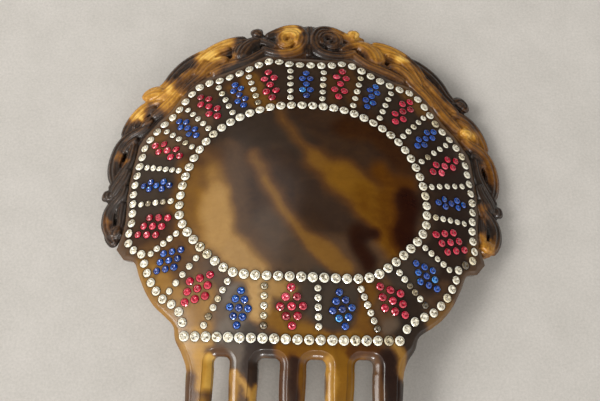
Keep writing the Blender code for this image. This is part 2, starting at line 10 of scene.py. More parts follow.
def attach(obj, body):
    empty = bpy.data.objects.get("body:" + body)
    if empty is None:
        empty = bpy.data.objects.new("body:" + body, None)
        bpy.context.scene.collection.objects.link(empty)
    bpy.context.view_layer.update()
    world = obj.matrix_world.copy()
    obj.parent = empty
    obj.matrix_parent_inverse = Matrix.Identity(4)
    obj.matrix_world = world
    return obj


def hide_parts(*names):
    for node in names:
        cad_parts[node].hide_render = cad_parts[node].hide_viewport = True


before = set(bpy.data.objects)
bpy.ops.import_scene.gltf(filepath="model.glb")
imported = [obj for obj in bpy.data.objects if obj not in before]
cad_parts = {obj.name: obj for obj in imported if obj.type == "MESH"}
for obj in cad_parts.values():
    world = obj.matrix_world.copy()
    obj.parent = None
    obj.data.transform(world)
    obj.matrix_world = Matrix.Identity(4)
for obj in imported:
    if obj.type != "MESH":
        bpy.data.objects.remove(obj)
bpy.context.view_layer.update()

rng = np.random.default_rng(1925)

# ------------------------------------------------------------------ the CAD's layout (mm, degrees)
BOW_RADIUS, CREST_RADIUS = 107.0, 214.0
LIE_ANGLE, LIE_Y, LIE_Z = -10.02, -20.33, 19.411
PLATE_T, TOOTH_T = 3.2, 4.0
TEETH = [(-27.75, 7.4), (-15.0, 7.8), (-1.25, 7.25), (11.9, 7.95), (25.95, 8.4)]
TOOTH_TIP_W, TOOTH_END, SLOT_TOP = 3.4, -68.0, -5.2
SLOT_LIFT, SLOT_CORNER = [0.0, 0.0, 0.1, 0.6], 1.7
BEVEL_W, BEVEL_D, EDGE_W, EDGE_D = 2.4, 1.5, 1.2, 0.7
ROW_STONE, INNER_STONE, BASE_STONE, DIVIDER_STONE = 2.65, 2.75, 2.85, 1.95
RED_STONE, BLUE_STONE = 2.3, 2.05
OUTER_COUNT, INNER_COUNT, BASE_COUNT = 79, 65, 20
SEAT_GAP, BED_MARGIN, WALL, BED_STEP = 0.1, 0.06, 0.25, 4.5
OUTER_LEFT = [(-33.0, 3.9), (-34.3, 7.0), (-36.6, 9.1)]
OUTER_RIGHT = [(30.4, 4.5), (32.9, 6.9), (35.8, 8.4)]
OUTER_ROW = [(39.2, 10.3), (43.3, 15.0), (46.3, 20.8), (47.6, 24.6),
             (52.0, 27.3), (53.2, 31.2), (52.5, 36.5), (53.0, 47.5), (51.4, 59.0), (50.4, 63.2), (46.4, 68.2),
             (41.4, 72.8), (37.0, 79.4), (33.0, 83.0), (27.0, 84.0), (20.8, 86.3), (12.2, 90.4), (6.2, 89.1), (0.0, 88.8)]
INNER_ROW = [(0.0, 17.4), (12.4, 17.5), (18.8, 18.2), (22.0, 19.6), (27.8, 24.4), (33.5, 30.6), (36.2, 35.2),
             (36.8, 40.0), (36.4, 46.0), (34.8, 52.0), (32.5, 57.0), (29.0, 61.9), (25.2, 65.3), (20.5, 68.2),
             (15.4, 70.4), (9.2, 72.0), (0.0, 72.5)]
BASE_ENDS, BASE_RISE = (-32.2, 28.3), 1.1
DIVIDERS = [((4.8, 87.0), (4.5, 75.9), 5), ((16.6, 86.4), (14.2, 74.9), 5), ((26.4, 82.2), (22.5, 71.4), 5),
            ((36.8, 74.5), (29.8, 65.6), 5), ((43.4, 65.4), (35.2, 57.4), 5), ((49.0, 52.4), (39.3, 49.7), 5),
            ((50.3, 39.6), (40.1, 39.5), 5), ((44.5, 23.2), (36.0, 29.2), 5), ((36.2, 11.6), (27.4, 21.3), 6),
            ((22.0, 3.4), (16.5, 15.6), 6), ((5.3, 3.5), (4.7, 14.6), 5), ((-9.8, 3.1), (-10.1, 14.0), 5),
            ((-26.8, 2.8), (-20.8, 15.2), 6), ((-37.8, 12.9), (-31.0, 21.6), 5), ((-44.8, 24.7), (-37.4, 30.2), 5),
            ((-50.1, 41.5), (-39.9, 41.2), 5), ((-49.7, 54.5), (-39.1, 51.6), 6), ((-43.8, 66.7), (-35.4, 59.9), 5),
            ((-37.3, 73.8), (-30.1, 65.6), 5), ((-27.4, 80.1), (-22.6, 70.3), 5), ((-18.3, 83.9), (-14.8, 73.2), 5),
            ((-5.6, 86.4), (-5.2, 75.4), 5)]
CLUSTERS = [(-0.5, 80.9, 92), (10.0, 82.0, 84), (19.9, 79.0, 72), (30.0, 75.4, 61), (37.3, 66.7, 50), (43.5, 58.2, 37),
            (45.3, 45.4, 8), (44.6, 32.4, 16, -52), (36.5, 20.6, -16, -76), (26.1, 12.3, -14, -76), (11.7, 8.9, -49, -108),
            (-2.3, 8.8, -56, -117), (-16.9, 8.2, -66, -122), (-29.3, 13.5, 17, -100), (-39.2, 21.9, 9, -108),
            (-45.0, 33.6, -7, -124), (-45.2, 47.3, 172), (-42.8, 59.4, 148), (-36.7, 66.6, 134), (-30.4, 73.9, 126),
            (-21.0, 77.2, 111), (-11.6, 80.6, 99)]
RED_SEVEN, BLUE_SEVEN, RED_NINE, BLUE_NINE = (2.6, 1.5), (2.25, 1.2), 3.1, 2.75
CROWN_EDGE = [(57.3, 27.4), (56.0, 31.5), (55.1, 36.8), (55.5, 47.7), (54.0, 59.6), (52.9, 64.6), (48.5, 70.1),
              (43.6, 74.8), (39.2, 81.4), (34.6, 85.4), (27.7, 86.7), (21.8, 88.9), (12.9, 93.1), (6.4, 91.8), (0.0, 91.6)]
FLANK = [(38.8, 5.6), (42.6, 8.8), (45.8, 13.0), (48.4, 17.9), (50.6, 22.6), (54.6, 23.9)]
NECK_RIGHT = [(30.06, -14.0), (30.15, -8.8), (31.4, -4.6), (33.6, -1.0), (34.6, 2.6)]
NECK_LEFT = [(-31.38, -14.0), (-31.45, -9.2), (-33.2, -4.9), (-35.4, -1.0), (-36.0, 2.8)]
BORDER_OUT = [(57.9, 29.6), (60.5, 30.4), (63.1, 34.6), (63.9, 39.2), (63.7, 43.4), (65.2, 46.0), (65.1, 48.4),
              (63.9, 51.2), (64.8, 58.3), (64.0, 64.3), (63.2, 68.5), (60.8, 74.5), (57.7, 79.2), (53.9, 82.0),
              (53.6, 85.2), (51.8, 87.6), (48.9, 87.3), (46.4, 90.8), (44.3, 94.2), (41.0, 96.5), (36.5, 98.8), (32.0, 100.6),
              (27.2, 102.3), (23.3, 103.0), (19.2, 102.4), (18.7, 104.5), (16.4, 105.9), (13.6, 104.2), (8.9, 106.0),
              (4.4, 107.6), (0.0, 109.0)]
BORDER_GAP, BORDER_BACK = 0.1, -3.0
PIERCINGS = [(27.4, 94.0, 3.0, 1.2, -20.0), (14.6, 97.6, 1.5, 1.0, 60.0), (3.9, 96.6, 1.9, 1.1, 20.0),
             (59.3, 61.5, 2.0, 1.0, 80.0), (59.0, 36.0, 2.4, 0.9, 84.0)]

COMB = Matrix.Translation((0.0, LIE_Y * 0.001, LIE_Z * 0.001)) @ Matrix.Rotation(math.radians(-LIE_ANGLE), 4, "X")
COMB_A = np.array(COMB)
TOOTH_C = np.array([c for c, _ in TEETH])


def place(q):
    """Points (u, v, w) in millimetres to the row frame in metres."""
    q = np.asarray(q, float).reshape(-1, 3)
    u, v, w = q.T
    a = np.maximum(v, 0.0) / CREST_RADIUS
    y = CREST_RADIUS * np.sin(a) + np.minimum(v, 0.0)
    z = CREST_RADIUS * (np.cos(a) - 1.0)
    tooth = v < SLOT_TOP - 3.0
    centre = TOOTH_C[np.abs(u[:, None] - TOOTH_C).argmin(1)]
    b = np.where(tooth, centre, u) / BOW_RADIUS
    side = (BOW_RADIUS + w) * np.sin(b) + np.where(tooth, (u - centre) * np.cos(b), 0.0)
    drop = (BOW_RADIUS + w) * np.cos(b) - BOW_RADIUS - np.where(tooth, (u - centre) * np.sin(b), 0.0)
    p = np.stack([side, y + drop * np.sin(a), z + drop * np.cos(a)], -1) * 0.001
    return p @ COMB_A[:3, :3].T + COMB_A[:3, 3]


def unplace(p):
    """The reverse, for points above the base row."""
    p = ((np.asarray(p, float) - COMB_A[:3, 3]) @ COMB_A[:3, :3]) * 1000.0
    a = np.arctan2(p[:, 1], p[:, 2] + CREST_RADIUS)
    drop = np.hypot(p[:, 1], p[:, 2] + CREST_RADIUS) - CREST_RADIUS
    b = np.arctan2(p[:, 0], drop + BOW_RADIUS)
    return np.stack([b * BOW_RADIUS, a * CREST_RADIUS, np.hypot(p[:, 0], drop + BOW_RADIUS) - BOW_RADIUS], -1)


def spline(points, closed=False, step=1.0):
    """Catmull-Rom curve through the points, whatever they carry, evenly resampled at about step."""
    p = [np.array(q, float) for q in points]
    n = len(p)
    dense = []
    for i in range(n if closed else n - 1):
        if closed:
            a, b, c, d = p[(i - 1) % n], p[i], p[(i + 1) % n], p[(i + 2) % n]
        else:
            b, c = p[i], p[i + 1]
            a = p[i - 1] if i else 2 * b - c
            d = p[i + 2] if i + 2 < n else 2 * c - b
        for k in range(12):
            t = k / 12.0
            dense.append(0.5 * (2 * b + (c - a) * t + (2 * a - 5 * b + 4 * c - d) * t * t + (3 * b - a - 3 * c + d) * t ** 3))
    dense.append(p[0] if closed else p[-1])
    return resample(np.array(dense), step=step)


def resample(path, count=None, step=None):
    seg = np.hypot(*(path[1:, :2] - path[:-1, :2]).T)
    s = np.concatenate([[0.0], np.cumsum(seg)])
    if count is None:
        count = max(2, int(round(s[-1] / step)) + 1)
    t = np.linspace(0.0, s[-1], count)
    return np.stack([np.interp(t, s, path[:, i]) for i in range(path.shape[1])], -1)


def mirrored(half):
    half = [tuple(q) for q in half]
    if half[0][0] == 0.0:
        half = half[::-1]
    return [(-x, y) for x, y in half] + [q for q in half[::-1] if q[0] > 0.0]


def normals(path, closed=False):
    d = np.roll(path, -1, 0) - np.roll(path, 1, 0) if closed else np.gradient(path, axis=0)
    d = d[:, :2] / np.maximum(np.hypot(*d[:, :2].T), 1e-9)[:, None]
    return np.stack([-d[:, 1], d[:, 0]], -1)


def inside(poly, pts):
    x, y = pts[:, 0], pts[:, 1]
    hit = np.zeros(len(pts), bool)
    for (x1, y1), (x2, y2) in zip(poly, np.roll(poly, -1, 0)):
        if y1 != y2:
            hit ^= ((y1 > y) != (y2 > y)) & (x < (x2 - x1) * (y - y1) / (y2 - y1) + x1)
    return hit


def distance(poly, pts, closed=True):
    a = np.asarray(poly, float)
    b = np.roll(a, -1, 0)
    if not closed:
        if len(a) == 1:
            return np.hypot(*(pts - a[0]).T)
        a, b = a[:-1], b[:-1]
    ab = b - a
    low = np.full(len(pts), 1e9)
    for p, q in zip(a, ab):
        t = np.clip(((pts - p) @ q) / max(q @ q, 1e-9), 0, 1)
        low = np.minimum(low, np.hypot(*(pts - p - t[:, None] * q).T))
    return low


def triangulate(loops, extra):
    verts, edges = [], []
    for loop in loops:
        base = len(verts)
        verts += [Vector((float(x), float(y))) for x, y in loop]
        edges += [(base + i, base + (i + 1) % len(loop)) for i in range(len(loop))]
    verts += [Vector((float(x), float(y))) for x, y in extra]
    out = delaunay_2d_cdt(verts, edges, [], 0, 1e-6, True)
    pts = np.array([tuple(q) for q in out[0]])
    tris = np.array([f for f in out[2] if len(f) == 3])
    a, b, c = pts[tris[:, 0]], pts[tris[:, 1]], pts[tris[:, 2]]
    turn = (b[:, 0] - a[:, 0]) * (c[:, 1] - a[:, 1]) - (b[:, 1] - a[:, 1]) * (c[:, 0] - a[:, 0])
    tris[turn < 0] = tris[turn < 0][:, ::-1]
    return pts, tris[np.abs(turn) > 1e-7]


def strip(path, half, gap, ends=0.0, closed=False):
    n = normals(path, closed)
    h = half + gap
    if closed:
        return [path - n * h, path + n * h]
    first, last = path[0] - path[1], path[-1] - path[-2]
    keep, path = path, path.copy()
    path[0] = path[0] + first / np.hypot(*first) * (ends + gap)
    path[-1] = path[-1] + last / np.hypot(*last) * (ends + gap)
    path = np.concatenate([path[:1], keep[:1], path[1:-1], keep[-1:], path[-1:]])
    n = np.concatenate([n[:1] * 0.65, n, n[-1:] * 0.65])
    return [np.concatenate([path + n * h, (path - n * h)[::-1]])]


def hull(points):
    pts = sorted(map(tuple, points))

    def chain(seq):
        out = []
        for p in seq:
            while len(out) > 1 and ((out[-1][0] - out[-2][0]) * (p[1] - out[-2][1])
                                    - (out[-1][1] - out[-2][1]) * (p[0] - out[-2][0])) <= 1e-9:
                out.pop()
            out.append(p)
        return out[:-1]

    return np.array(chain(pts) + chain(pts[::-1]))


def divided(poly, step):
    out = []
    for a, b in zip(poly, np.roll(poly, -1, 0)):
        n = max(1, int(math.ceil(np.hypot(*(b - a)) / step)))
        out += [a + (b - a) * k / n for k in range(n)]
    return np.array(out)


def bed(at, diameter):
    def outline(gap):
        r = (diameter / 2 + BED_MARGIN + gap) / math.cos(math.pi / 8)
        ring = [(r * math.cos(t), r * math.sin(t)) for t in np.linspace(0, 2 * math.pi, 9)[:-1] + math.pi / 8]
        return [divided(hull([p + q for p in at for q in ring]), BED_STEP)]
    return outline


# rows, dividers and clusters: the same places as in the CAD
outer_path = spline(OUTER_LEFT + mirrored(OUTER_ROW) + OUTER_RIGHT[::-1], step=0.25)
outer_at = resample(outer_path, count=OUTER_COUNT)
inner_path = spline(INNER_ROW + [(-x, y) for x, y in INNER_ROW[-2:0:-1]], closed=True, step=0.25)
inner_at = resample(inner_path, count=INNER_COUNT + 1)[:-1]
base_u = np.linspace(*BASE_ENDS, BASE_COUNT)
base_at = np.stack([base_u, BASE_RISE * (np.maximum(base_u, 0.0) / BASE_ENDS[1]) ** 1.5], -1)
row_half = ROW_STONE / 2 + BED_MARGIN
jobs = [("outer_row", "clear", lambda gap: strip(outer_at, row_half, gap, row_half), outer_at, ROW_STONE, 0.0),
        ("inner_row", "clear", lambda gap: strip(inner_at, INNER_STONE / 2 + BED_MARGIN, gap, closed=True), inner_at, INNER_STONE, 0.0),
        ("base_row", "clear", bed(base_at, BASE_STONE), base_at, BASE_STONE, 0.0)]
row_wells = [loop for job in jobs for loop in job[2](SEAT_GAP)]
for k, (a, b, count) in enumerate(DIVIDERS):
    a, b = np.array(a), np.array(b)
    along = (b - a) / np.hypot(*(b - a))
    line = a + along * np.linspace(-6.0, np.hypot(*(b - a)) + 6.0, 600)[:, None]
    free = np.min([distance(loop, line) for loop in row_wells], 0)
    mid = np.abs(line - (a + b) / 2).sum(1).argmin()
    held = free < (DIVIDER_STONE / 2 + BED_MARGIN + SEAT_GAP) * 1.05 + WALL
    first = mid - held[:mid][::-1].argmax()
    last = mid + held[mid:].argmax() - 1
    at = line[first] + (line[last] - line[first]) * np.linspace(0, 1, count)[:, None]
    size = min(DIVIDER_STONE, 0.93 * np.hypot(*(at[1] - at[0])))
    jobs.append(("divider_row_%02d" % (k + 1), "clear", bed(at, size), at, size, math.atan2(along[1], along[0])))
row_wells += [job[2](SEAT_GAP)[0] for job in jobs[3:]]
for k, entry in enumerate(CLUSTERS):
    red = k % 2 == 1
    centre = np.array(entry[:2])
    one = np.array((math.cos(math.radians(entry[2])), math.sin(math.radians(entry[2]))))
    if len(entry) == 3:
        pitch, across = RED_SEVEN if red else BLUE_SEVEN
        side = np.array((one[1], -one[0]))
        at = [centre + one * (i * pitch) + side * (j * across)
              for i, j in ((2, 0), (1, 1), (1, -1), (0, 0), (-1, 1), (-1, -1), (-2, 0))]
    else:
        two = np.array((math.cos(math.radians(entry[3])), math.sin(math.radians(entry[3]))))
        pitch = RED_NINE if red else BLUE_NINE
        at = [centre + (one * i + two * j) * pitch for i in (-1, 0, 1) for j in (-1, 0, 1)]
    at = np.array(at)
    stone = RED_STONE if red else BLUE_STONE
    for _ in range(40):
        ring = bed(at, stone)(SEAT_GAP)[0]
        ring = np.concatenate([ring, (ring + np.roll(ring, -1, 0)) / 2])
        push = np.zeros(2)
        for loop in row_wells:
            if np.hypot(*(loop.mean(0) - centre)) >= 60:
                continue
            a, ab = loop, np.roll(loop, -1, 0) - loop
            t = np.clip(((ring[:, None] - a) * ab).sum(-1) / (ab * ab).sum(-1), 0, 1)
            d = np.sqrt(((ring[:, None] - (a + t[..., None] * ab)) ** 2).sum(-1))
            i, j = np.unravel_index(d.argmin(), d.shape)
            near = d[i, j] * (-1 if inside(loop, ring[i:i + 1])[0] else 1)
            if near < WALL:
                away = at.mean(0) - (a + t[..., None] * ab)[i, j]
                push += away / np.hypot(*away) * (WALL - near) * 0.5
        if not push.any():
            break
        at = at + push
    jobs.append(("%s_cluster_%02d" % ("red" if red else "blue", k + 1), "red" if red else "blue", None, at, stone,
                 math.radians(entry[2])))

# ------------------------------------------------------------------ colour of the celluloid
# Each dab is tone (0 black .. 1 honey), milk (cloudy grey), warmth (deep translucent amber), half width, softness
# and the line it follows; later dabs lie over earlier ones.
PLATE_DABS = [
    # the medallion
    (0.22, 0.03, 0.25, 30, 6, [(-8, 60), (14, 60)]),
    (0.17, 0.06, 0.00, 8, 6, [(-22, 66), (-12, 64), (-5, 57)]),
    (0.20, 0.05, 0.30, 4.5, 4, [(-8, 52.5), (-1, 47), (6, 41.5), (11, 37)]),
    (0.26, 0.12, 0.10, 7, 6, [(-9, 30), (-3, 24), (0, 19)]),
    (0.32, 0.08, 0.15, 3.4, 4.5, [(-23, 58), (-21, 48), (-18.5, 36), (-15, 27), (-9, 18)]),
    (0.47, 0.05, 0.40, 2.2, 3.6, [(-15.5, 54.5), (-12.5, 47.5), (-9.5, 42), (-6, 37.5), (-3, 33.5), (1, 30), (5, 26.5), (9, 21)]),
    (0.60, 0.04, 0.50, 0.7, 2.4, [(-12, 46.5), (-9, 41.5), (-6, 37.5), (-3, 33.8), (1, 30)]),
    (0.56, 0.05, 0.50, 3.0, 3.0, [(3, 27.5), (8, 24.5), (11, 20)]),
    (0.44, 0.03, 0.40, 1.6, 4, [(-9, 71), (-6.5, 66), (-4, 62.5), (0, 57.5), (4, 53)]),
    (0.54, 0.02, 0.55, 3.6, 6, [(3, 54), (8, 49.5), (13, 46.5)]),
    (0.56, 0.01, 0.75, 5.0, 6, [(10, 49), (15, 44.5), (19, 41)]),
    (0.50, 0.01, 0.90, 3.6, 5, [(17, 44), (20, 38), (23, 33), (26, 27)]),
    (0.40, 0.01, 1.00, 3.4, 5, [(22, 51), (25, 47), (30, 49)]),
    (0.44, 0.01, 1.00, 3.2, 4, [(24, 43), (26, 36), (27, 30)]),
    (0.24, 0.00, 0.60, 4, 5, [(12, 66), (22, 64), (29, 56)]),
    (0.13, 0.00, 1.00, 3.4, 4, [(30.5, 44), (31, 36), (30, 30)]),
    (0.14, 0.01, 0.80, 2.6, 3.5, [(15.5, 31), (17, 25), (18.5, 22)]),
    (0.12, 0.01, 0.70, 1.8, 3, [(17, 30), (21, 31)]),
    (0.52, 0.03, 0.40, 6, 4, [(-37, 49), (-35, 38), (-32, 28)]),
    (0.60, 0.02, 0.60, 1.4, 2.4, [(-31, 44), (-29.5, 36), (-27.5, 27)]),
    (0.40, 0.05, 0.30, 3.0, 5, [(-31, 57), (-28, 55), (-26, 50)]),
    (0.66, 0.05, 0.15, 3.0, 6, [(-28, 50), (-25.5, 42), (-24, 36)]),
    (0.76, 0.07, 0.05, 4.6, 4.5, [(-26, 41), (-24.5, 35), (-22.5, 28), (-18.5, 23), (-14.5, 18)]),
    (0.74, 0.12, 0.02, 2.8, 3, [(-20, 25), (-15, 19), (-11, 15)]),
    # the frame of panels, clockwise from the top
    (0.18, 0.06, 0.05, 6, 3, [(-8, 82), (0, 82), (10, 82), (22, 78), (32, 71), (38, 66)]),
    (0.34, 0.03, 0.30, 2.4, 2, [(7, 84), (8, 77)]),
    (0.36, 0.03, 0.30, 2.4, 2, [(12, 87), (14, 76)]),
    (0.22, 0.14, 0.00, 2.4, 2, [(24, 84), (20, 80)]),
    (0.48, 0.03, 0.30, 3, 2.5, [(36, 78), (30, 84)]),
    (0.46, 0.03, 0.40, 2.5, 2, [(48, 72), (42, 76), (39, 79)]),
    (0.12, 0.03, 0.30, 7, 4, [(42, 63), (46, 54), (46, 42), (46, 32), (38, 22)]),
    (0.16, 0.02, 0.90, 2.4, 2, [(48, 60), (44, 58)]),
    (0.48, 0.04, 0.30, 2.0, 2, [(52, 29), (54, 33)]),
    (0.16, 0.12, 0.00, 4, 3, [(28, 19), (36, 24)]),
    (0.30, 0.06, 0.20, 3, 2, [(42, 18), (40, 12)]),
    (0.56, 0.08, 0.15, 2.2, 2, [(44, 13), (38, 7)]),
    (0.40, 0.08, 0.10, 2.0, 2, [(22, 17), (25, 6)]),
    (0.34, 0.26, 0.00, 2.0, 2, [(25, 4), (29, 6)]),
    (0.10, 0.05, 0.10, 4, 2.5, [(30, 12), (33, 5), (30, -1)]),
    (0.48, 0.02, 0.60, 3.4, 2.5, [(18, 14), (17, 5), (21, 0)]),
    (0.14, 0.14, 0.00, 5, 3, [(5, 15), (11, 13), (11, 7), (6, 10)]),
    (0.58, 0.02, 0.55, 3.4, 3, [(-6, 5), (0, 2), (8, 0), (14, 0)]),
    (0.82, 0.16, 0.00, 3.2, 2.5, [(-12, 14), (-11, 7)]),
    (0.72, 0.12, 0.05, 2.6, 2, [(-7, 14), (-4, 13)]),
    (0.24, 0.42, 0.00, 4.2, 2, [(-19, 11), (-18, 3), (-21, 3)]),
    (0.30, 0.22, 0.00, 2.4, 2, [(-25, 12), (-22, 7)]),
    (0.12, 0.12, 0.00, 2.2, 2, [(-13, 2), (-12, -4)]),
    (0.66, 0.03, 0.30, 7, 4, [(-30, 3), (-37, 10), (-44, 19), (-38, 16), (-30, 10)]),
    (0.42, 0.05, 0.25, 4.5, 4, [(-34, 19), (-38, 26), (-44, 26)]),
    (0.24, 0.05, 0.40, 5, 3, [(-42, 33), (-49, 32)]),
    (0.15, 0.10, 0.00, 7, 4, [(-47, 43), (-46, 53)]),
    (0.46, 0.04, 0.25, 3, 3, [(-44, 60), (-47, 66)]),
    (0.34, 0.12, 0.15, 5, 3, [(-38, 62), (-33, 68)]),
    (0.52, 0.05, 0.25, 2.6, 2, [(-42, 71), (-40, 77)]),
    (0.14, 0.10, 0.00, 4.5, 3, [(-27, 76), (-21, 72)]),
    (0.50, 0.02, 0.45, 3.4, 2, [(-18, 83), (-17, 77), (-13, 73)]),
    (0.46, 0.03, 0.30, 2.0, 2, [(-24, 81), (-21, 76)]),
    (0.30, 0.05, 0.20, 4, 2, [(-30, 80), (-35, 76)]),
    # the neck and the teeth
    (0.66, 0.03, 0.30, 4, 3, [(-31, 1), (-30, -6), (-29, -10)]),
    (0.80, 0.01, 0.66, 1.9, 2, [(-28, 1), (-27.4, -6), (-26.8, -13)]),
    (0.80, 0.04, 0.15, 1.8, 2, [(-31, -1.2), (-27, -1.2), (-24.4, -1.0)]),
    (0.68, 0.01, 0.68, 4, 4, [(-27, -20), (-26, -34), (-26, -50)]),
    (0.34, 0.03, 0.30, 1.7, 2, [(-30.5, -11), (-29.6, -16), (-29, -30)]),
    # painted light: the bright strip on the first slot's left wall stands for light coming through the celluloid
    (0.92, 0.00, 0.60, 1.5, 1.4, [(-24.7, -5.5), (-24.4, -10), (-24.2, -13)]),
    (0.46, 0.01, 0.60, 1.2, 2, [(-24.2, -15.5), (-24.2, -24)]),
    (0.34, 0.02, 0.60, 1.3, 1.2, [(-22.6, -4.2), (-20.5, -3.8), (-18.8, -5.6), (-18.4, -9)]),
    (0.26, 0.30, 0.00, 2.4, 2, [(-17.5, -1.5), (-16.4, -5), (-16, -9)]),
    (0.12, 0.02, 0.20, 2.3, 1.8, [(-12.4, -2.6), (-13.2, -7), (-13.2, -10.5), (-12.2, -12.5)]),
    (0.70, 0.01, 0.40, 1.4, 1.6, [(-18.0, -10), (-17.6, -15), (-17.4, -30)]),
    (0.80, 0.03, 0.25, 1.1, 1.4, [(-17, -9.5), (-15, -12.5), (-13.4, -15.5)]),
    (0.16, 0.02, 0.20, 0.8, 1.2, [(-14, -9), (-13.6, -12), (-12.4, -12.6)]),
    (0.82, 0.00, 0.55, 1.1, 1.4, [(-11.8, -13.5), (-11.8, -22)]),
    (0.70, 0.02, 0.40, 4.5, 5, [(-14, -26), (-14, -40), (-13, -68)]),
    (0.12, 0.03, 0.10, 2.0, 1.6, [(-11, -2.6), (-8, -2.8), (-6, -3.4)]),
    (0.32, 0.01, 0.70, 1.4, 1.4, [(-4.6, -4), (-4.2, -9), (-4.2, -24)]),
    (0.52, 0.01, 0.95, 3.6, 2.5, [(-3, -2), (4, -2), (11, -3), (17, -2)]),
    (0.14, 0.01, 0.60, 1.4, 1.6, [(-1.4, -6), (-1, -16), (-1, -40)]),
    (0.50, 0.00, 0.95, 1.4, 1.6, [(1.2, -7), (1.5, -16), (1.2, -50)]),
    (0.58, 0.01, 0.95, 4.4, 3, [(12, -7), (12.4, -24), (12, -66)]),
    (0.74, 0.00, 0.60, 1.5, 1.5, [(8.6, -5), (8.8, -10), (9.2, -30)]),
    (0.70, 0.00, 0.60, 1.1, 1.6, [(15.6, -9), (15.4, -24)]),
    (0.34, 0.01, 0.85, 2.0, 1.8, [(15.5, -2.4), (18.5, -1.8), (22, -2.4)]),
    (0.40, 0.02, 0.50, 1.3, 1.4, [(22.4, -4), (22.4, -10), (22.6, -20)]),
    (0.08, 0.01, 0.50, 2.6, 2.2, [(25, -4), (26.2, -10), (27, -30)]),
    (0.70, 0.03, 0.35, 1.6, 1.8, [(27.4, -0.5), (29.2, -3.5), (29.4, -8)]),
    (0.12, 0.02, 0.30, 1.2, 1.6, [(29.4, -11.5), (29, -24)]),
    (0.62, 0.03, 0.40, 3, 4, [(26, -46), (25, -68)]),
]
BORDER_DABS = [
    (0.30, 0.02, 0.10, 8, 4, [(0, 100), (8, 100)]),
    (0.74, 0.00, 0.12, 4.8, 2.5, [(-14, 102), (-9, 104), (-6, 98), (-9, 93)]),
    (0.48, 0.00, 0.15, 2.0, 2.0, [(-13, 93), (-8, 92), (-3, 93)]),
    (0.24, 0.04, 0.05, 5, 2.5, [(2, 106), (3, 98), (8, 94), (12, 93)]),
    (0.26, 0.03, 0.05, 3.4, 2, [(8, 102), (11, 98)]),
    (0.56, 0.01, 0.20, 1.6, 1.6, [(8, 105), (12, 102)]),
    (0.86, 0.00, 0.08, 2.4, 1.4, [(13.5, 104.5), (15.5, 103.5)]),
    (0.70, 0.00, 0.18, 4.6, 2.5, [(17, 101), (22, 97), (26, 101), (31, 98)]),
    (0.72, 0.01, 0.25, 2.6, 2.0, [(19, 97), (22, 94)]),
    (0.44, 0.03, 0.20, 3, 2.5, [(14, 96), (20, 91), (28, 89)]),
    (0.60, 0.01, 0.20, 3.6, 2.5, [(31, 94), (35, 90), (38, 86), (43, 80)]),
    (0.74, 0.00, 0.12, 2.0, 2.0, [(26, 100), (31, 98)]),
    (0.16, 0.05, 0.00, 3.4, 2, [(36, 99), (39, 97), (44, 93), (47, 89), (52, 87)]),
    (0.20, 0.03, 0.05, 2.2, 1.6, [(44, 88), (46, 85), (50, 84)]),
    (0.50, 0.01, 0.25, 3, 2, [(41, 84), (45, 80), (48, 77)]),
    (0.28, 0.03, 0.15, 3.0, 2.5, [(52, 82), (56, 79), (60, 75)]),
    (0.56, 0.00, 0.35, 4.4, 2.5, [(50, 73), (56, 71), (61, 68), (62, 63)]),
    (0.88, 0.00, 0.10, 1.8, 1.6, [(51.5, 73.4), (53, 72.6)]),
    (0.46, 0.00, 0.40, 3.0, 3, [(58, 66), (61.5, 60), (62, 55)]),
    (0.18, 0.05, 0.00, 3.0, 2, [(54, 64), (55, 58), (55.6, 50)]),
    (0.16, 0.06, 0.00, 5, 3, [(57, 54), (60, 48), (62, 45), (59, 41), (62, 40)]),
    (0.44, 0.02, 0.20, 1.6, 1.4, [(56.2, 47), (56.4, 42)]),
    (0.68, 0.00, 0.20, 3.2, 1.6, [(58, 34), (57.6, 31)]),
    (0.22, 0.06, 0.05, 8, 3, [(-22, 101), (-20, 95), (-17, 92), (-18, 104)]),
    (0.80, 0.00, 0.10, 4.2, 2.5, [(-28, 101), (-32, 98), (-36, 96)]),
    (0.62, 0.03, 0.12, 2.6, 2, [(-36, 90), (-30, 91), (-25, 93)]),
    (0.20, 0.05, 0.00, 4, 2, [(-39, 94), (-43, 91), (-46, 88)]),
    (0.56, 0.03, 0.15, 1.8, 1.5, [(-39, 87), (-36, 89), (-30, 88)]),
    (0.30, 0.04, 0.10, 2.4, 1.6, [(-37, 86), (-42, 82)]),
    (0.76, 0.00, 0.15, 5, 2.5, [(-53, 84), (-48, 83), (-47, 79), (-43, 78)]),
    (0.80, 0.00, 0.12, 3.0, 2.0, [(-57, 79), (-55, 76)]),
    (0.30, 0.04, 0.10, 2.6, 2, [(-50, 77), (-50, 70)]),
    (0.22, 0.04, 0.05, 5, 2.5, [(-60, 70), (-62, 65), (-56, 68)]),
    (0.17, 0.07, 0.00, 8, 3, [(-61, 58), (-59, 50), (-60, 42)]),
    (0.50, 0.02, 0.25, 1.6, 1.4, [(-60, 61), (-57.5, 59)]),
    (0.44, 0.02, 0.25, 1.4, 1.4, [(-61.5, 38), (-61, 34)]),
    (0.24, 0.06, 0.10, 4, 2.5, [(-60, 32), (-57, 30)]),
    # thin places that the light comes through, painted as bright spots of light
    (1.00, 0.00, 0.10, 1.6, 1.4, [(-32, 95.6), (-29.6, 95)]),
    (0.98, 0.00, 0.10, 1.2, 1.2, [(-54.5, 76), (-53.6, 74.6)]),
    (0.96, 0.00, 0.12, 1.3, 1.4, [(-45, 83.5), (-43.6, 82.4)]),
    (0.94, 0.00, 0.10, 1.6, 1.4, [(-8, 103.2), (-4.6, 103.6)]),
    (1.00, 0.00, 0.08, 1.2, 1.0, [(15, 104)]),
    (0.96, 0.00, 0.10, 1.4, 1.2, [(29, 97.4), (31, 96.6)]),
    (0.78, 0.00, 0.40, 1.6, 1.8, [(31, 84), (36, 81)]),
    (0.74, 0.00, 0.30, 1.4, 1.6, [(39, 79.6), (43, 76)]),
]


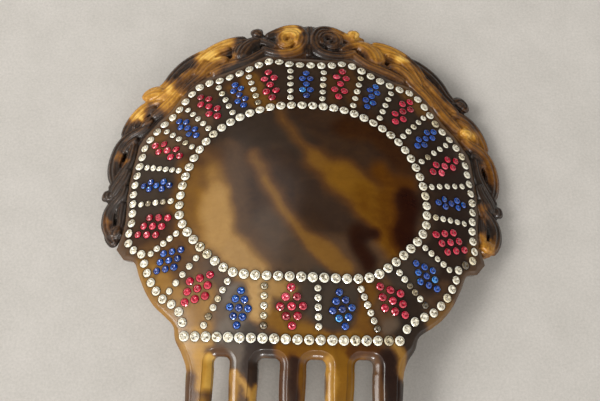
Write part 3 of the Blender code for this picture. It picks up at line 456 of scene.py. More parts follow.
def painted(dabs, uv, base, spread=1.0, wander=0.0):
    """Tone, milk and warmth at each point, with wandering edges."""
    u, v = uv.T
    u, v = (u + wander * (np.sin(0.8 * v + 0.5 * u) + 0.6 * np.sin(1.7 * v - 1.1 * u + 1.0)),
            v + wander * (np.sin(0.9 * u - 0.4 * v + 2.0) + 0.6 * np.sin(1.9 * u + 1.2 * v)))
    p = np.stack([u + 0.5 * np.sin(0.21 * v + 0.9) + 0.35 * np.sin(0.61 * v - 0.3 * u + 2.0),
                  v + 0.5 * np.sin(0.19 * u + 0.4) + 0.35 * np.sin(0.57 * u + 0.4 * v + 1.0)], -1)
    out = np.tile(np.array(base, float), (len(uv), 1))
    for tone, milk, warm, half, soft, path in dabs:
        path = path * 2 if len(path) == 1 else path
        d = distance(np.array(path, float), p, closed=False)
        soft = soft * spread
        a = np.clip((half + soft / 2 - d) / soft, 0, 1)
        a = a * a * (3 - 2 * a)
        out += (np.array((tone, milk, warm)) - out) * a[:, None]
    return out


# ------------------------------------------------------------------ materials
def srgb(r, g, b):
    return tuple(((c / 255.0 + 0.055) / 1.055) ** 2.4 if c > 10 else c / 255.0 / 12.92 for c in (r, g, b)) + (1.0,)


def new_material(name):
    m = bpy.data.materials.new(name)
    m.use_nodes = True
    return m, m.node_tree, m.node_tree.nodes["Principled BSDF"]


def node(tree, kind, **values):
    n = tree.nodes.new(kind)
    for k, v in values.items():
        if hasattr(n, k):
            setattr(n, k, v)
        else:
            n.inputs[k.replace("_", " ")].default_value = v
    return n


def maths(tree, operation, a, b=None, clamp=False):
    n = tree.nodes.new("ShaderNodeMath")
    n.operation, n.use_clamp = operation, clamp
    for socket, value in zip(n.inputs, (a, b)):
        if value is None:
            continue
        if isinstance(value, (int, float)):
            socket.default_value = value
        else:
            tree.links.new(value, socket)
    return n.outputs[0]


def mix(tree, blend, factor, a, b):
    n = tree.nodes.new("ShaderNodeMix")
    n.data_type, n.blend_type = "RGBA", blend
    for socket, value in ((n.inputs[0], factor), (n.inputs[6], a), (n.inputs[7], b)):
        if isinstance(value, (int, float, tuple)):
            socket.default_value = value
        else:
            tree.links.new(value, socket)
    return n.outputs[2]


def ramp(tree, factor, stops):
    n = tree.nodes.new("ShaderNodeValToRGB")
    while len(n.color_ramp.elements) < len(stops):
        n.color_ramp.elements.new(0.5)
    for e, (at, colour) in zip(n.color_ramp.elements, stops):
        e.position, e.color = at, colour
    tree.links.new(factor, n.inputs[0])
    return n.outputs[0]


def attribute(tree, name):
    n = tree.nodes.new("ShaderNodeAttribute")
    n.attribute_name = name
    return n.outputs["Fac"]


def noise(tree, place_, scale, detail=4.0, roughness=0.55, distortion=0.0, stretch=None):
    if stretch is not None:
        m = node(tree, "ShaderNodeMapping")
        m.inputs["Scale"].default_value = stretch
        tree.links.new(place_, m.inputs["Vector"])
        place_ = m.outputs[0]
    n = node(tree, "ShaderNodeTexNoise", Scale=scale, Detail=detail, Roughness=roughness, Distortion=distortion)
    tree.links.new(place_, n.inputs["Vector"])
    return n.outputs["Fac"]


def celluloid(name, streak, carved):
    """Mottled shell-pattern celluloid: tone through a ramp from black to honey, cloudy patches, polish scratches."""
    m, t, shader = new_material(name)
    where = node(t, "ShaderNodeTexCoord").outputs["Object"]
    cloud = noise(t, where, 95.0, 5.0, 0.6, 1.2)
    grain = noise(t, where, 620.0, 4.0, 0.6, 0.6)
    lines = noise(t, where, 240.0, 4.0, 0.6, 0.8, stretch=streak)
    tone = maths(t, "ADD", attribute(t, "tone"), maths(t, "MULTIPLY", maths(t, "SUBTRACT", cloud, 0.5), 0.16))
    tone = maths(t, "ADD", tone, maths(t, "MULTIPLY", maths(t, "SUBTRACT", lines, 0.5), 0.10))
    tone = maths(t, "ADD", tone, maths(t, "MULTIPLY", maths(t, "SUBTRACT", grain, 0.5), 0.07), clamp=True)
    if carved:
        # painted shade: the low parts of the carving are darkened
        tone = maths(t, "SUBTRACT", tone, maths(t, "MULTIPLY", attribute(t, "painted_hollow_shade"), 0.16), clamp=True)
        patchy = noise(t, where, 330.0, 5.0, 0.65, 1.4)
        tone = maths(t, "ADD", tone, maths(t, "MULTIPLY", maths(t, "SUBTRACT", patchy, 0.5), 0.42), clamp=True)
        # painted light on the carved ridges and painted shade in the grooves between
        tone = maths(t, "ADD", tone, maths(t, "MULTIPLY", attribute(t, "ridge_light_groove_shade"), 0.055), clamp=True)
    if carved:
        colour = ramp(t, tone, [(0.0, srgb(17, 9, 6)), (0.2, srgb(42, 26, 17)), (0.4, srgb(102, 67, 34)),
                                (0.6, srgb(150, 102, 42)), (0.8, srgb(196, 142, 58)), (1.0, srgb(244, 198, 104))])
    else:
        colour = ramp(t, tone, [(0.0, srgb(24, 15, 10)), (0.2, srgb(50, 35, 24)), (0.4, srgb(88, 60, 32)),
                                (0.6, srgb(131, 94, 44)), (0.8, srgb(176, 135, 72)), (1.0, srgb(220, 182, 116))])
    deep = ramp(t, tone, [(0.0, (1.0, 0.22, 0.20, 1.0)), (0.3, (1.0, 0.58, 0.12, 1.0)), (0.55, (1.0, 0.86, 0.14, 1.0))])
    tinted = mix(t, "MULTIPLY", 1.0, colour, deep)
    colour = mix(t, "MIX", attribute(t, "warm"), colour, tinted)
    milk = maths(t, "MULTIPLY", attribute(t, "milk"), maths(t, "ADD", maths(t, "MULTIPLY", cloud, 0.7), 0.65), clamp=True)
    colour = mix(t, "MIX", milk, colour, srgb(140, 130, 118))
    if not carved:                                              # grime and painted shade in the drilled seats
        colour = mix(t, "MIX", attribute(t, "seat_grime_and_shade"), colour, srgb(18, 13, 10))
    t.links.new(colour, shader.inputs["Base Color"])
    scratch = noise(t, where, 900.0, 3.0, 0.7, 0.0, stretch=(1.0, 0.16, 1.0))
    rough = maths(t, "ADD", maths(t, "MULTIPLY", scratch, 0.12), 0.13 if not carved else 0.18)
    t.links.new(rough, shader.inputs["Roughness"])
    shader.inputs["Coat Weight"].default_value = 0.0
    shader.inputs["Coat Roughness"].default_value = 0.05
    shader.inputs["IOR"].default_value = 1.5
    shader.inputs["Specular IOR Level"].default_value = 0.38 if not carved else 0.34
    shader.inputs["Subsurface Weight"].default_value = 0.12
    shader.inputs["Subsurface Radius"].default_value = (0.6, 0.4, 0.15)
    shader.inputs["Subsurface Scale"].default_value = 0.0025
    bump = node(t, "ShaderNodeBump", Strength=0.10, Distance=0.0002)
    t.links.new(maths(t, "ADD", maths(t, "MULTIPLY", scratch, 0.5), maths(t, "MULTIPLY", grain, 0.5)), bump.inputs["Height"])
    t.links.new(bump.outputs[0], shader.inputs["Normal"])
    return m


def paste(name, stops, gloss):
    """Foiled paste: each facet has its own share of the foil's light, painted into its colour as light and shade, with
    a fine wavering across it.
    """
    m, t, shader = new_material(name)
    where = node(t, "ShaderNodeTexCoord").outputs["Object"]
    fine = noise(t, where, 1500.0, 2.0, 0.6, 0.4)
    light = maths(t, "ADD", attribute(t, "painted_facet_light_and_foil_wear"), maths(t, "MULTIPLY", maths(t, "SUBTRACT", fine, 0.5), 0.5), clamp=True)
    t.links.new(ramp(t, light, stops), shader.inputs["Base Color"])
    t.links.new(maths(t, "ADD", maths(t, "MULTIPLY", fine, 0.10), 0.06), shader.inputs["Roughness"])
    shader.inputs["Metallic"].default_value = gloss
    shader.inputs["Coat Weight"].default_value = 1.0
    shader.inputs["Coat Roughness"].default_value = 0.03
    shader.inputs["IOR"].default_value = 1.6
    return m


PLATE_LOOK = celluloid("tortoiseshell_celluloid", (0.5, 1.4, 1.0), False)
CARVED_LOOK = celluloid("carved_celluloid", (1.0, 1.0, 1.0), True)
# the ramps turn each facet's painted light and shade into colour, from dark facets up to painted glints
STONE_LOOKS = {
    "clear": paste("clear_foiled_paste", [(0.0, srgb(44, 35, 24)), (0.3, srgb(142, 124, 92)), (0.54, srgb(240, 227, 190)),
                                           (1.0, srgb(255, 252, 238))], 0.2),
    "red": paste("red_foiled_paste", [(0.0, srgb(80, 2, 14)), (0.4, srgb(176, 8, 40)), (0.72, srgb(228, 34, 74)),
                                      (1.0, srgb(252, 112, 134))], 0.2),
    "blue": paste("blue_foiled_paste", [(0.0, srgb(4, 18, 60)), (0.4, srgb(8, 48, 128)), (0.72, srgb(16, 90, 196)),
                                        (1.0, srgb(80, 186, 250))], 0.2)}


def build(name, co, faces, material, attributes=(), angle=None, stands_for=()):
    mesh = bpy.data.meshes.new(name)
    mesh.from_pydata([tuple(p) for p in co], [], [tuple(int(i) for i in f) for f in faces])
    mesh.validate()
    for key, domain, values in attributes:
        layer = mesh.attributes.new(key, "FLOAT", domain)
        layer.data.foreach_set("value", np.asarray(values, np.float32))
    if angle is not None:
        mesh.shade_smooth()
        mesh.set_sharp_from_angle(angle=math.radians(angle))
    mesh.materials.append(material)
    obj = bpy.data.objects.new(name, mesh)
    bpy.context.scene.collection.objects.link(obj)
    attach(obj, "root")
    if stands_for:
        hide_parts(*stands_for)
    return obj


# ------------------------------------------------------------------ stones
VISIBLE = {"base_row": 2.88, "outer_row": 2.68, "inner_row": 2.8}
seats = []                                       # centre, stone radius, seat radius
SIDES = 12
# clear stones whose foil has tarnished or gone: (u, v, share of the light left)
DULL = [(divider_place[0], divider_place[1], left) for divider_place, left in (
    (jobs[14][3][0], 0.22), (jobs[14][3][1], 0.55), (jobs[14][3][3], 0.6), (jobs[14][3][4], 0.42),
    (jobs[15][3][1], 0.38), (jobs[15][3][3], 0.6), (jobs[11][3][0], 0.12), (jobs[11][3][2], 0.36), (jobs[11][3][3], 0.22),
    (jobs[12][3][0], 0.15), (jobs[18][3][1], 0.32), (jobs[18][3][3], 0.4), (jobs[23][3][3], 0.6), (jobs[23][3][4], 0.4),
    (jobs[20][3][3], 0.5), (jobs[7][3][3], 0.45), (jobs[9][3][4], 0.6))]
DULL += [(50.0, 26.2, 0.12), (41.2, 73.6, 0.5), (14.0, 18.0, 0.42), (25.5, 0.0, 0.5)]


def stones(name, kind, centres, diameter, turn):
    pitch = np.array([np.sort(np.hypot(*(centres - c).T))[1] for c in centres])
    co, faces, painted_facet_light_and_foil_wear = [], [], []
    for c, gap in zip(centres, pitch):
        r = diameter / 2 * rng.uniform(0.965, 1.015)
        r = min(r, gap / 2 - 0.05)
        seats.append((c, r, min(r + 0.16, gap / 2 - 0.012)))
        phase = turn + rng.uniform(0, 2 * math.pi)
        lean, way = math.radians(abs(rng.normal(0, 4.0))), rng.uniform(0, 2 * math.pi)
        life = rng.uniform(0.0, 1.0)
        worth = 1.0 if life > 0.03 else rng.uniform(0.55, 0.8)
        if kind != "clear":
            worth = rng.uniform(0.74, 1.08) if life > 0.12 else rng.uniform(0.45, 0.65) if life > 0.05 else 1.35
        for x, y, left in DULL:
            if kind == "clear" and math.hypot(c[0] - x, c[1] - y) < 1.1:
                worth = left
        base = len(co)
        rings = [(0.90, -0.42, 0.0), (1.0, -0.02, 0.0), (1.0, 0.06, 0.0), (0.74, 0.30, 0.5), (0.55, 0.40, 0.0)]
        pts = []
        for share, high, half in rings:
            for s in range(SIDES):
                t = phase + (s + half) * 2 * math.pi / SIDES
                pts.append((r * share * math.cos(t), r * share * math.sin(t), high * r / 1.3 if high > 0 else high))
        pts.append((0.0, 0.0, (0.40 - 0.26) * r / 1.3))             # the foiled back, seen through the table
        pts = np.array(pts)
        tip = math.tan(lean) * (pts[:, 0] * math.cos(way) + pts[:, 1] * math.sin(way))
        pts[:, 2] += np.where(pts[:, 2] > -0.3, tip, 0.0)
        pts[:, :2] += c
        co.extend(pts)
        top = base + len(rings) * SIDES
        # each facet gets painted light or shade, times the stone's foil wear (worth)
        faces.append([base + s for s in range(SIDES)][::-1])
        painted_facet_light_and_foil_wear.append(0.1)
        for k in range(len(rings) - 1):
            for s in range(SIDES):
                n = (s + 1) % SIDES
                a, b = base + k * SIDES + s, base + k * SIDES + n
                e, f = base + (k + 1) * SIDES + s, base + (k + 1) * SIDES + n
                if k == 2:
                    faces += [[a, b, e], [b, f, e]]
                elif k == 3:
                    faces += [[a, f, e], [a, b, f]]
                else:
                    faces += [[a, b, f, e]]
                for _ in range(2 if k >= 2 else 1):
                    if k < 2:
                        painted_facet_light_and_foil_wear.append(0.22 * worth)
                    elif k == 2:
                        painted_facet_light_and_foil_wear.append((rng.uniform(0.78, 1.0) if rng.uniform() > 0.08 else rng.uniform(0.25, 0.55)) * worth)
                    else:
                        painted_facet_light_and_foil_wear.append((rng.uniform(0.60, 0.95) if rng.uniform() > 0.48 else rng.uniform(0.18, 0.45)) * worth)
        for s in range(SIDES):
            n = (s + 1) % SIDES
            faces.append([base + 4 * SIDES + s, base + 4 * SIDES + n, top])
            painted_facet_light_and_foil_wear.append((rng.uniform(0.70, 1.0) if rng.uniform() > 0.30 else rng.uniform(0.05, 0.35)) * worth)
    values = np.array(painted_facet_light_and_foil_wear)
    if kind == "red":
        values = values * 0.72
    elif kind == "blue":
        values = values * 0.74
    # painted glints: a few random facets turned fully bright
    painted_glint = rng.uniform(size=len(values)) > 0.985
    values = np.where(painted_glint & (values > 0.3), 1.0, values)
    return build(name + "_stones", place(co), faces, STONE_LOOKS[kind], [("painted_facet_light_and_foil_wear", "FACE", values)],
                 stands_for=[name])


for name, kind, _, centres, diameter, turn in jobs:
    stones(name, kind, centres, VISIBLE.get(name, diameter), turn)

# ------------------------------------------------------------------ the plate and its teeth
tooth_v = np.linspace(SLOT_TOP - 3.6, TOOTH_END + TOOTH_TIP_W / 2, 60)


def half_width(k, v):
    t = np.clip((-12.0 - v) / (-12.0 - TOOTH_END), 0, 1)
    return (TEETH[k][1] + (TOOTH_TIP_W - TEETH[k][1]) * t) / 2


def slot_of(k):
    a, b = TEETH[k][0] + TEETH[k][1] / 2, TEETH[k + 1][0] - TEETH[k + 1][1] / 2
    return (a + b) / 2, (b - a) / 2


def slot_head(k, count):
    """Head of slot k, left to right: a flat crown between two round corners."""
    x, r = slot_of(k)
    side, top = r - SLOT_CORNER, SLOT_TOP + SLOT_LIFT[k] - SLOT_CORNER
    turn = np.linspace(0, math.pi / 2, count)
    left = [(x - side - SLOT_CORNER * math.cos(a), top + SLOT_CORNER * math.sin(a)) for a in turn]
    left = [(x - r, v) for v in np.linspace(tooth_v[0], top, 6)[1:-1]] + left
    flat = [(x + side * q, top + SLOT_CORNER) for q in (-0.6, -0.2, 0.2, 0.6)]
    return left + flat + [(2 * x - u, v) for u, v in left[::-1]]


crown = spline(CROWN_EDGE, step=0.8)
loop = []
for k, (c, _) in enumerate(TEETH):
    r = half_width(k, tooth_v[-1])
    loop += [(c - half_width(k, v), v) for v in tooth_v]
    loop += [(c + r * math.sin(a), tooth_v[-1] - r * math.cos(a)) for a in np.linspace(-math.pi / 2, math.pi / 2, 13)[1:-1]]
    loop += [(c + half_width(k, v), v) for v in tooth_v[::-1]]
    if k < len(TEETH) - 1:
        loop += slot_head(k, 10)
neck_right = spline(NECK_RIGHT + FLANK, step=0.8)
neck_left = spline(NECK_LEFT + [(-x, y) for x, y in FLANK], step=0.8)
del loop[-1]
loop += [tuple(q) for q in neck_right] + [tuple(q) for q in crown]
loop += [(-x, y) for x, y in crown[-2::-1]] + [tuple(q) for q in neck_left[::-1]]
plate_outline = np.array(loop[1:])
keep = [True] * len(plate_outline)
for i in range(len(plate_outline)):
    if np.hypot(*(plate_outline[i] - plate_outline[i - 1])) < 0.02:
        keep[i] = False
plate_outline = plate_outline[keep]


def top_of(d, v):
    lower = np.clip((3.0 - v) / 6.0, 0, 1)
    width = EDGE_W + (BEVEL_W - EDGE_W) * lower
    depth = np.where(v > 25.5, 0.25, EDGE_D + (BEVEL_D - EDGE_D) * lower)
    thin = 1.3 * np.clip((-15.0 - v) / (-15.0 - TOOTH_END), 0, 1)
    t = np.clip(1 - d / width, 0, 1)
    worn = 0.16 * np.clip(t / 0.10, 0, 1) + 0.20 * np.clip((t - 0.1) / 0.5, 0, 1) + 0.64 * np.clip((t - 0.5) / 0.5, 0, 1) ** 1.4
    return -depth * (worn * lower + t ** 1.25 * (1 - lower)) - thin


def back_of(d, v):
    t = np.clip((2.0 - v) / 8.0, 0, 1)
    return -(PLATE_T + (TOOTH_T - PLATE_T) * t) + 0.5 * np.clip(1 - d / 0.7, 0, 1) ** 1.6


def hexgrid(outline, step):
    lo, hi = outline.min(0), outline.max(0)
    pts = np.array([(x, y) for i, y in enumerate(np.arange(lo[1], hi[1], step * 0.87))
                    for x in np.arange(lo[0] + (i % 2) * step / 2, hi[0], step)])
    return pts[inside(outline, pts)]


def offsets(outline, amounts):
    n = normals(outline, True)
    out = []
    for amount in amounts:
        for sign in (1, -1):
            q = outline + sign * n * amount
            q = q[inside(outline, q)]
            out.append(q[distance(outline, q) > amount * 0.97])
    return np.concatenate(out)


centre_of = np.array([c for c, _, _ in seats])
stone_r = np.array([r for _, r, _ in seats])
seat_r = np.array([s for _, _, s in seats])
SEAT_SIDES = 16
circle = np.linspace(0, 2 * math.pi, SEAT_SIDES + 1)[:-1]
rims = [c + s * np.stack([np.cos(circle), np.sin(circle)], -1) for c, _, s in seats]
floors = [c + (r - 0.06) * np.stack([np.cos(circle), np.sin(circle)], -1) for c, r, _ in seats]


def clear_of_seats(pts, margin):
    ok = np.ones(len(pts), bool)
    for c, s in zip(centre_of, seat_r):
        ok &= np.hypot(*(pts - c).T) > s + margin
    return pts[ok]


rings = offsets(plate_outline, (0.22, 0.44, 0.66, 0.9, 1.2, 1.6, 2.0, 2.14, 2.27, 2.4, 2.56, 2.8))
rings = rings[(rings[:, 1] < 30) | (distance(plate_outline, rings) < 1.3)]
field = hexgrid(plate_outline, 1.15)
field = field[distance(plate_outline, field) > np.where(field[:, 1] < 3.0, 3.0, 1.5)]
extra = clear_of_seats(np.concatenate([rings, field]), 0.22)
pts, tris = triangulate([plate_outline] + rims + floors, extra)
tris = tris[inside(plate_outline, pts[tris].mean(1))]
d = distance(plate_outline, pts)
w = top_of(d, pts[:, 1])
sunk = np.zeros(len(pts), bool)
edge = np.zeros(len(pts), bool)
for c, r, s in zip(centre_of, stone_r, seat_r):
    far = np.hypot(*(pts - c).T)
    sunk |= far < r
    edge |= (far < s + 0.01) & (far >= r)
w = np.where(sunk, w - 0.5, w)
low_pts = np.concatenate([offsets(plate_outline, (0.35, 0.7)), hexgrid(plate_outline, 2.2)])
low_pts = low_pts[distance(plate_outline, low_pts) > 0.3]
bpts, btris = triangulate([plate_outline], low_pts)
btris = btris[inside(plate_outline, bpts[btris].mean(1))]
bw = back_of(distance(plate_outline, bpts), bpts[:, 1])


def key(p):
    return (round(float(p[0]), 5), round(float(p[1]), 5))


owner = set()
for tri in tris:
    for k in range(3):
        owner.add((int(tri[k]), int(tri[(k + 1) % 3])))
below = {key(p): i for i, p in enumerate(bpts)}
faces = [tuple(f) for f in tris] + [tuple(f[::-1] + len(pts)) for f in btris]
for i, j in owner:
    if (j, i) not in owner:
        faces.append((j, i, below[key(pts[i])] + len(pts), below[key(pts[j])] + len(pts)))
uv = np.concatenate([pts, bpts])
tmw = painted(PLATE_DABS, uv, (0.34, 0.10, 0.15))
# grime and painted shade in the drilled seats: full under each stone, partial on the seat's rim
seat_grime_and_shade = np.concatenate([np.where(sunk, 1.0, np.where(edge, 0.35, 0.0)), np.zeros(len(bpts))])
plate = build("comb_plate_body", place(np.column_stack([uv, np.concatenate([w, bw])])), faces, PLATE_LOOK,
              [("tone", "POINT", tmw[:, 0]), ("milk", "POINT", tmw[:, 1]), ("warm", "POINT", tmw[:, 2]), ("seat_grime_and_shade", "POINT", seat_grime_and_shade)],
              angle=32.0, stands_for=["comb_plate"])

# ------------------------------------------------------------------ the carved border
# strokes of the carver: which half, height of the middle above the face, and (u, v, half width) along the right-hand line
STROKES = [
    ("both", -0.3, [(0.0, 107.6, 1.2), (0.0, 104.0, 1.6), (0.0, 100.0, 1.4), (0.0, 96.0, 1.1), (0.0, 93.2, 1.0)]),
    ("both", 0.0, [(14.2, 102.4, 0.9), (11.0, 104.0, 1.3), (7.0, 105.6, 1.6), (3.4, 105.2, 1.7), (1.6, 101.6, 1.6), (2.0, 97.6, 1.6),
                   (4.6, 94.8, 1.5), (8.6, 94.0, 1.5), (12.4, 95.0, 1.4), (15.2, 97.2, 1.0)]),
    ("both", 0.35, [(4.2, 98.6, 1.0), (3.8, 101.4, 1.3), (5.4, 103.4, 1.4), (8.2, 102.8, 1.4), (9.2, 100.0, 1.3), (7.6, 98.0, 1.1),
                    (5.8, 99.0, 0.8), (6.4, 100.6, 0.7)]),
    ("right", 0.5, [(12.8, 103.6, 1.2), (14.2, 104.4, 2.0), (15.2, 103.4, 1.6)]),
    ("left", 0.4, [(15.4, 102.6, 1.2), (17.0, 103.6, 1.9), (18.4, 102.6, 1.5)]),
    ("both", -0.1, [(10.0, 97.0, 0.8), (12.4, 99.0, 1.1), (15.2, 100.6, 1.2), (18.6, 101.6, 1.2)]),
    ("both", 0.1, [(15.6, 100.8, 1.1), (18.4, 99.8, 2.0), (20.8, 97.4, 2.6), (21.8, 94.6, 2.4), (22.2, 92.8, 1.3)]),
    ("both", -0.2, [(12.6, 97.0, 1.0), (15.4, 94.6, 1.4), (19.0, 92.0, 1.5), (23.0, 90.8, 1.5), (26.6, 89.8, 1.4), (31.0, 88.0, 1.3)]),
    ("both", 0.2, [(20.0, 101.2, 1.4), (24.6, 100.8, 1.9), (29.4, 99.2, 2.0), (33.6, 96.4, 1.9), (36.6, 92.6, 1.6), (38.2, 89.2, 1.1)]),
    ("both", 0.5, [(25.2, 98.4, 0.8), (29.6, 97.2, 1.1), (32.6, 94.8, 1.1), (34.8, 91.4, 1.0), (36.6, 88.0, 0.8)]),
    ("both", 0.0, [(25.6, 93.6, 1.0), (29.0, 93.2, 1.4), (32.0, 91.0, 1.6), (34.6, 87.6, 1.6), (38.6, 83.8, 1.4), (41.0, 80.6, 1.0)]),
    ("both", 0.0, [(32.0, 98.6, 1.2), (36.0, 96.8, 1.8), (40.2, 94.2, 2.0), (43.4, 91.0, 1.9), (45.8, 87.4, 1.7), (48.8, 85.0, 1.4)]),
    ("right", 0.5, [(48.6, 85.4, 1.2), (50.8, 86.4, 1.7), (52.4, 85.0, 1.5), (51.6, 83.4, 1.0)]),
    ("left", 0.5, [(46.4, 83.2, 1.4), (49.6, 83.8, 2.6), (52.4, 83.4, 2.6), (53.4, 82.2, 1.5)]),
    ("both", 0.3, [(36.4, 92.0, 1.1), (39.6, 88.8, 1.7), (42.6, 85.4, 1.9), (46.4, 82.4, 1.7), (49.8, 80.8, 1.2)]),
    ("both", 0.0, [(38.8, 86.0, 1.0), (41.2, 82.6, 1.4), (43.8, 79.4, 1.6), (47.0, 76.4, 1.6), (50.2, 74.2, 1.2)]),
    ("both", 0.0, [(46.6, 80.2, 1.2), (50.2, 80.2, 1.7), (54.0, 78.6, 2.1), (57.0, 75.6, 2.1), (59.0, 72.2, 1.8), (60.0, 69.2, 1.2)]),
    ("both", 0.3, [(48.8, 78.0, 0.8), (52.4, 76.6, 1.3), (55.2, 74.0, 1.4), (56.4, 71.0, 1.0)]),
    ("right", 0.6, [(50.6, 73.0, 1.0), (52.2, 73.6, 1.8), (53.6, 72.6, 1.2)]),
    ("left", 0.4, [(49.6, 74.0, 0.9), (51.4, 72.4, 1.5), (53.4, 70.8, 1.0)]),
    ("both", 0.1, [(50.6, 71.6, 1.1), (53.6, 70.0, 1.6), (57.4, 68.6, 2.0), (60.4, 66.0, 2.1), (61.8, 62.6, 2.1), (62.4, 58.6, 2.0),
                   (62.0, 54.8, 1.8), (61.0, 51.4, 1.3)]),
    ("both", 0.2, [(54.0, 66.8, 1.1), (57.0, 65.2, 1.3), (59.0, 62.6, 1.1)]),
    ("both", -0.1, [(55.4, 65.4, 1.2), (55.8, 62.2, 1.4), (56.4, 58.4, 1.6), (58.2, 55.0, 1.7), (60.6, 51.8, 1.7), (62.6, 48.8, 1.5)]),
    ("both", 0.4, [(62.2, 48.8, 1.2), (63.2, 47.2, 1.7), (63.0, 45.2, 1.4)]),
    ("both", 0.3, [(55.8, 55.4, 1.0), (57.2, 52.2, 1.5), (59.4, 49.2, 1.6), (61.2, 46.4, 1.2)]),
    ("both", 0.0, [(56.4, 49.8, 1.1), (57.4, 46.4, 1.6), (60.0, 43.8, 1.9), (61.8, 40.8, 2.0), (62.0, 37.4, 2.0), (61.0, 34.2, 1.7),
                   (59.4, 31.8, 1.3)]),
    ("right", 0.5, [(56.8, 35.2, 1.4), (58.0, 33.2, 2.6), (57.8, 31.4, 2.0)]),
    ("left", 0.3, [(56.8, 35.2, 1.1), (58.4, 33.2, 1.9), (58.2, 31.2, 1.5)]),
    ("left", -0.4, [(62.0, 35.4, 1.2), (60.8, 32.4, 1.6), (59.0, 30.2, 1.5), (58.0, 29.0, 1.0)]),
    ("both", 0.0, [(56.6, 43.6, 1.1), (57.0, 40.0, 1.3), (57.0, 36.4, 1.1), (57.6, 33.8, 0.9)]),
]


def tube(points, middle, wide=1.0, high=1.12, ridges=0):
    """One stroke: a flattened roll along the line, ridged along its length, drawn in to a blunt end at both ends."""
    path = spline(points, step=0.45)
    n = normals(path)
    r = path[:, 2].copy()
    seg = np.concatenate([[0.0], np.cumsum(np.hypot(*(path[1:, :2] - path[:-1, :2]).T))])
    reach = 1.1 * np.minimum(seg, seg[-1] - seg)
    r = r * np.sqrt(np.clip(1 - np.clip(1 - reach / np.maximum(r, 0.2), 0, 1) ** 2, 0.04, 1))
    ring = np.linspace(0, 2 * math.pi, 45 if ridges else 17)[:-1]
    co = []
    for p, q, size in zip(path, n, r):
        tall = high * 1.45 * math.tanh(size / 1.45)
        for s in ring:
            out = wide * size * math.cos(s)
            up = tall * math.sin(s)
            if ridges and up > 0:
                up += RIDGE * (math.cos(2 * math.pi * ridges * 0.5 * (1 + math.cos(s))) - 0.6) * min(1.0, size)
            co.append((p[0] + q[0] * out, p[1] + q[1] * out, middle + up))
    m, faces = len(ring), []
    for i in range(len(path) - 1):
        for s in range(m):
            faces.append((i * m + s, (i + 1) * m + s, (i + 1) * m + (s + 1) % m, i * m + (s + 1) % m))
    faces.append(tuple(range(m)))
    faces.append(tuple(len(co) - 1 - s for s in range(m)))
    return np.array(co), faces


RIDGE, WIDE = 0.18, 1.30


def ridges_of(points):
    """How many carved ridges run along a stroke."""
    size = max(q[2] for q in points)
    return 5 if size > 2.3 else 3 if size > 1.25 else 2


crown_line = spline(CROWN_EDGE, step=0.8)
inner_line = crown_line - normals(crown_line) * BORDER_GAP
inner_line = inner_line[inner_line[:, 1] > 31.5]
inner_line[-1][0] = 0.0
outer_line = spline(BORDER_OUT, step=0.8)
outer_line = outer_line + normals(outer_line) * 0.75            # the web stays back from the carving's edge
outer_line = outer_line[outer_line[:, 0] > 0.2]
outer_line = np.concatenate([outer_line, [(0.0, 108.0)]])
right = [tuple(q) for q in outer_line]
border_outline = np.array(right + [(-x, y) for x, y in right[-2::-1]]
                          + [(-x, y) for x, y in inner_line] + [tuple(q) for q in inner_line[-2::-1]])
holes = []
for x, y, a, b, deg in PIERCINGS:
    for sign in (1, -1):
        t = math.radians(deg)
        holes.append(np.array([(sign * (x + a * math.cos(s) * math.cos(t) - b * math.sin(s) * math.sin(t)),
                                y + a * math.cos(s) * math.sin(t) + b * math.sin(s) * math.cos(t))
                               for s in np.linspace(0, 2 * math.pi, 21)[:-1]]))

pts, tris = triangulate([border_outline] + holes, hexgrid(border_outline, 1.2))
mid = pts[tris].mean(1)
ok = inside(border_outline, mid)
for hole in holes:
    ok &= ~inside(hole, mid)
tris = tris[ok]
owner = set()
for tri in tris:
    for k in range(3):
        owner.add((int(tri[k]), int(tri[(k + 1) % 3])))
co = [np.column_stack([pts, np.full(len(pts), -0.55)]), np.column_stack([pts, np.full(len(pts), BORDER_BACK)])]
faces = [tuple(f) for f in tris] + [tuple(f[::-1] + len(pts)) for f in tris]
faces += [(j, i, i + len(pts), j + len(pts)) for i, j in owner if (j, i) not in owner]
count = 2 * len(pts)
lines = []                                       # points along the strokes: u, v, half width, across-direction
for half, middle, points in STROKES:
    for sign in (1, -1):
        if sign == -1 and points[0][0] == 0.0 and points[-1][0] == 0.0:
            continue
        if half == ("left", "both", "right")[1 - sign]:
            continue
        path = [(sign * x, y, r) for x, y, r in points]
        line = spline(path, step=0.45)
        lines.append(np.column_stack([line, normals(line), np.full(len(line), len(lines))]))
        tc, tf = tube(path, middle - 0.35, WIDE, 1.0, ridges_of(points))
        co.append(tc)
        faces += [tuple(i + count for i in f) for f in tf]
        count += len(tc)
rim = np.concatenate([inner_line, [(-x, y) for x, y in inner_line[-2::-1]]])
rim = rim - normals(rim) * 0.85
tc, tf = tube([(x, y, 0.7) for x, y in rim[::3]], -0.95, 1.2, 0.9)
co.append(tc)
faces += [tuple(i + count for i in f) for f in tf]
raw = bpy.data.meshes.new("border_raw")
raw.from_pydata([tuple(p) for p in place(np.concatenate(co))], [], faces)
raw.validate()
raw_obj = bpy.data.objects.new("border_raw", raw)
bpy.context.scene.collection.objects.link(raw_obj)
remesh = raw_obj.modifiers.new("remesh", "REMESH")
remesh.mode, remesh.voxel_size, remesh.adaptivity = "VOXEL", 0.00026, 0.0
smooth = raw_obj.modifiers.new("smooth", "SMOOTH")
smooth.factor, smooth.iterations = 0.5, 2
graph = bpy.context.evaluated_depsgraph_get()
done = bpy.data.meshes.new_from_object(raw_obj.evaluated_get(graph))
co = np.zeros(len(done.vertices) * 3)
done.vertices.foreach_get("co", co)
co = co.reshape(-1, 3)
faces = [tuple(p.vertices) for p in done.polygons]
bpy.data.objects.remove(raw_obj)
uvw = unplace(co)
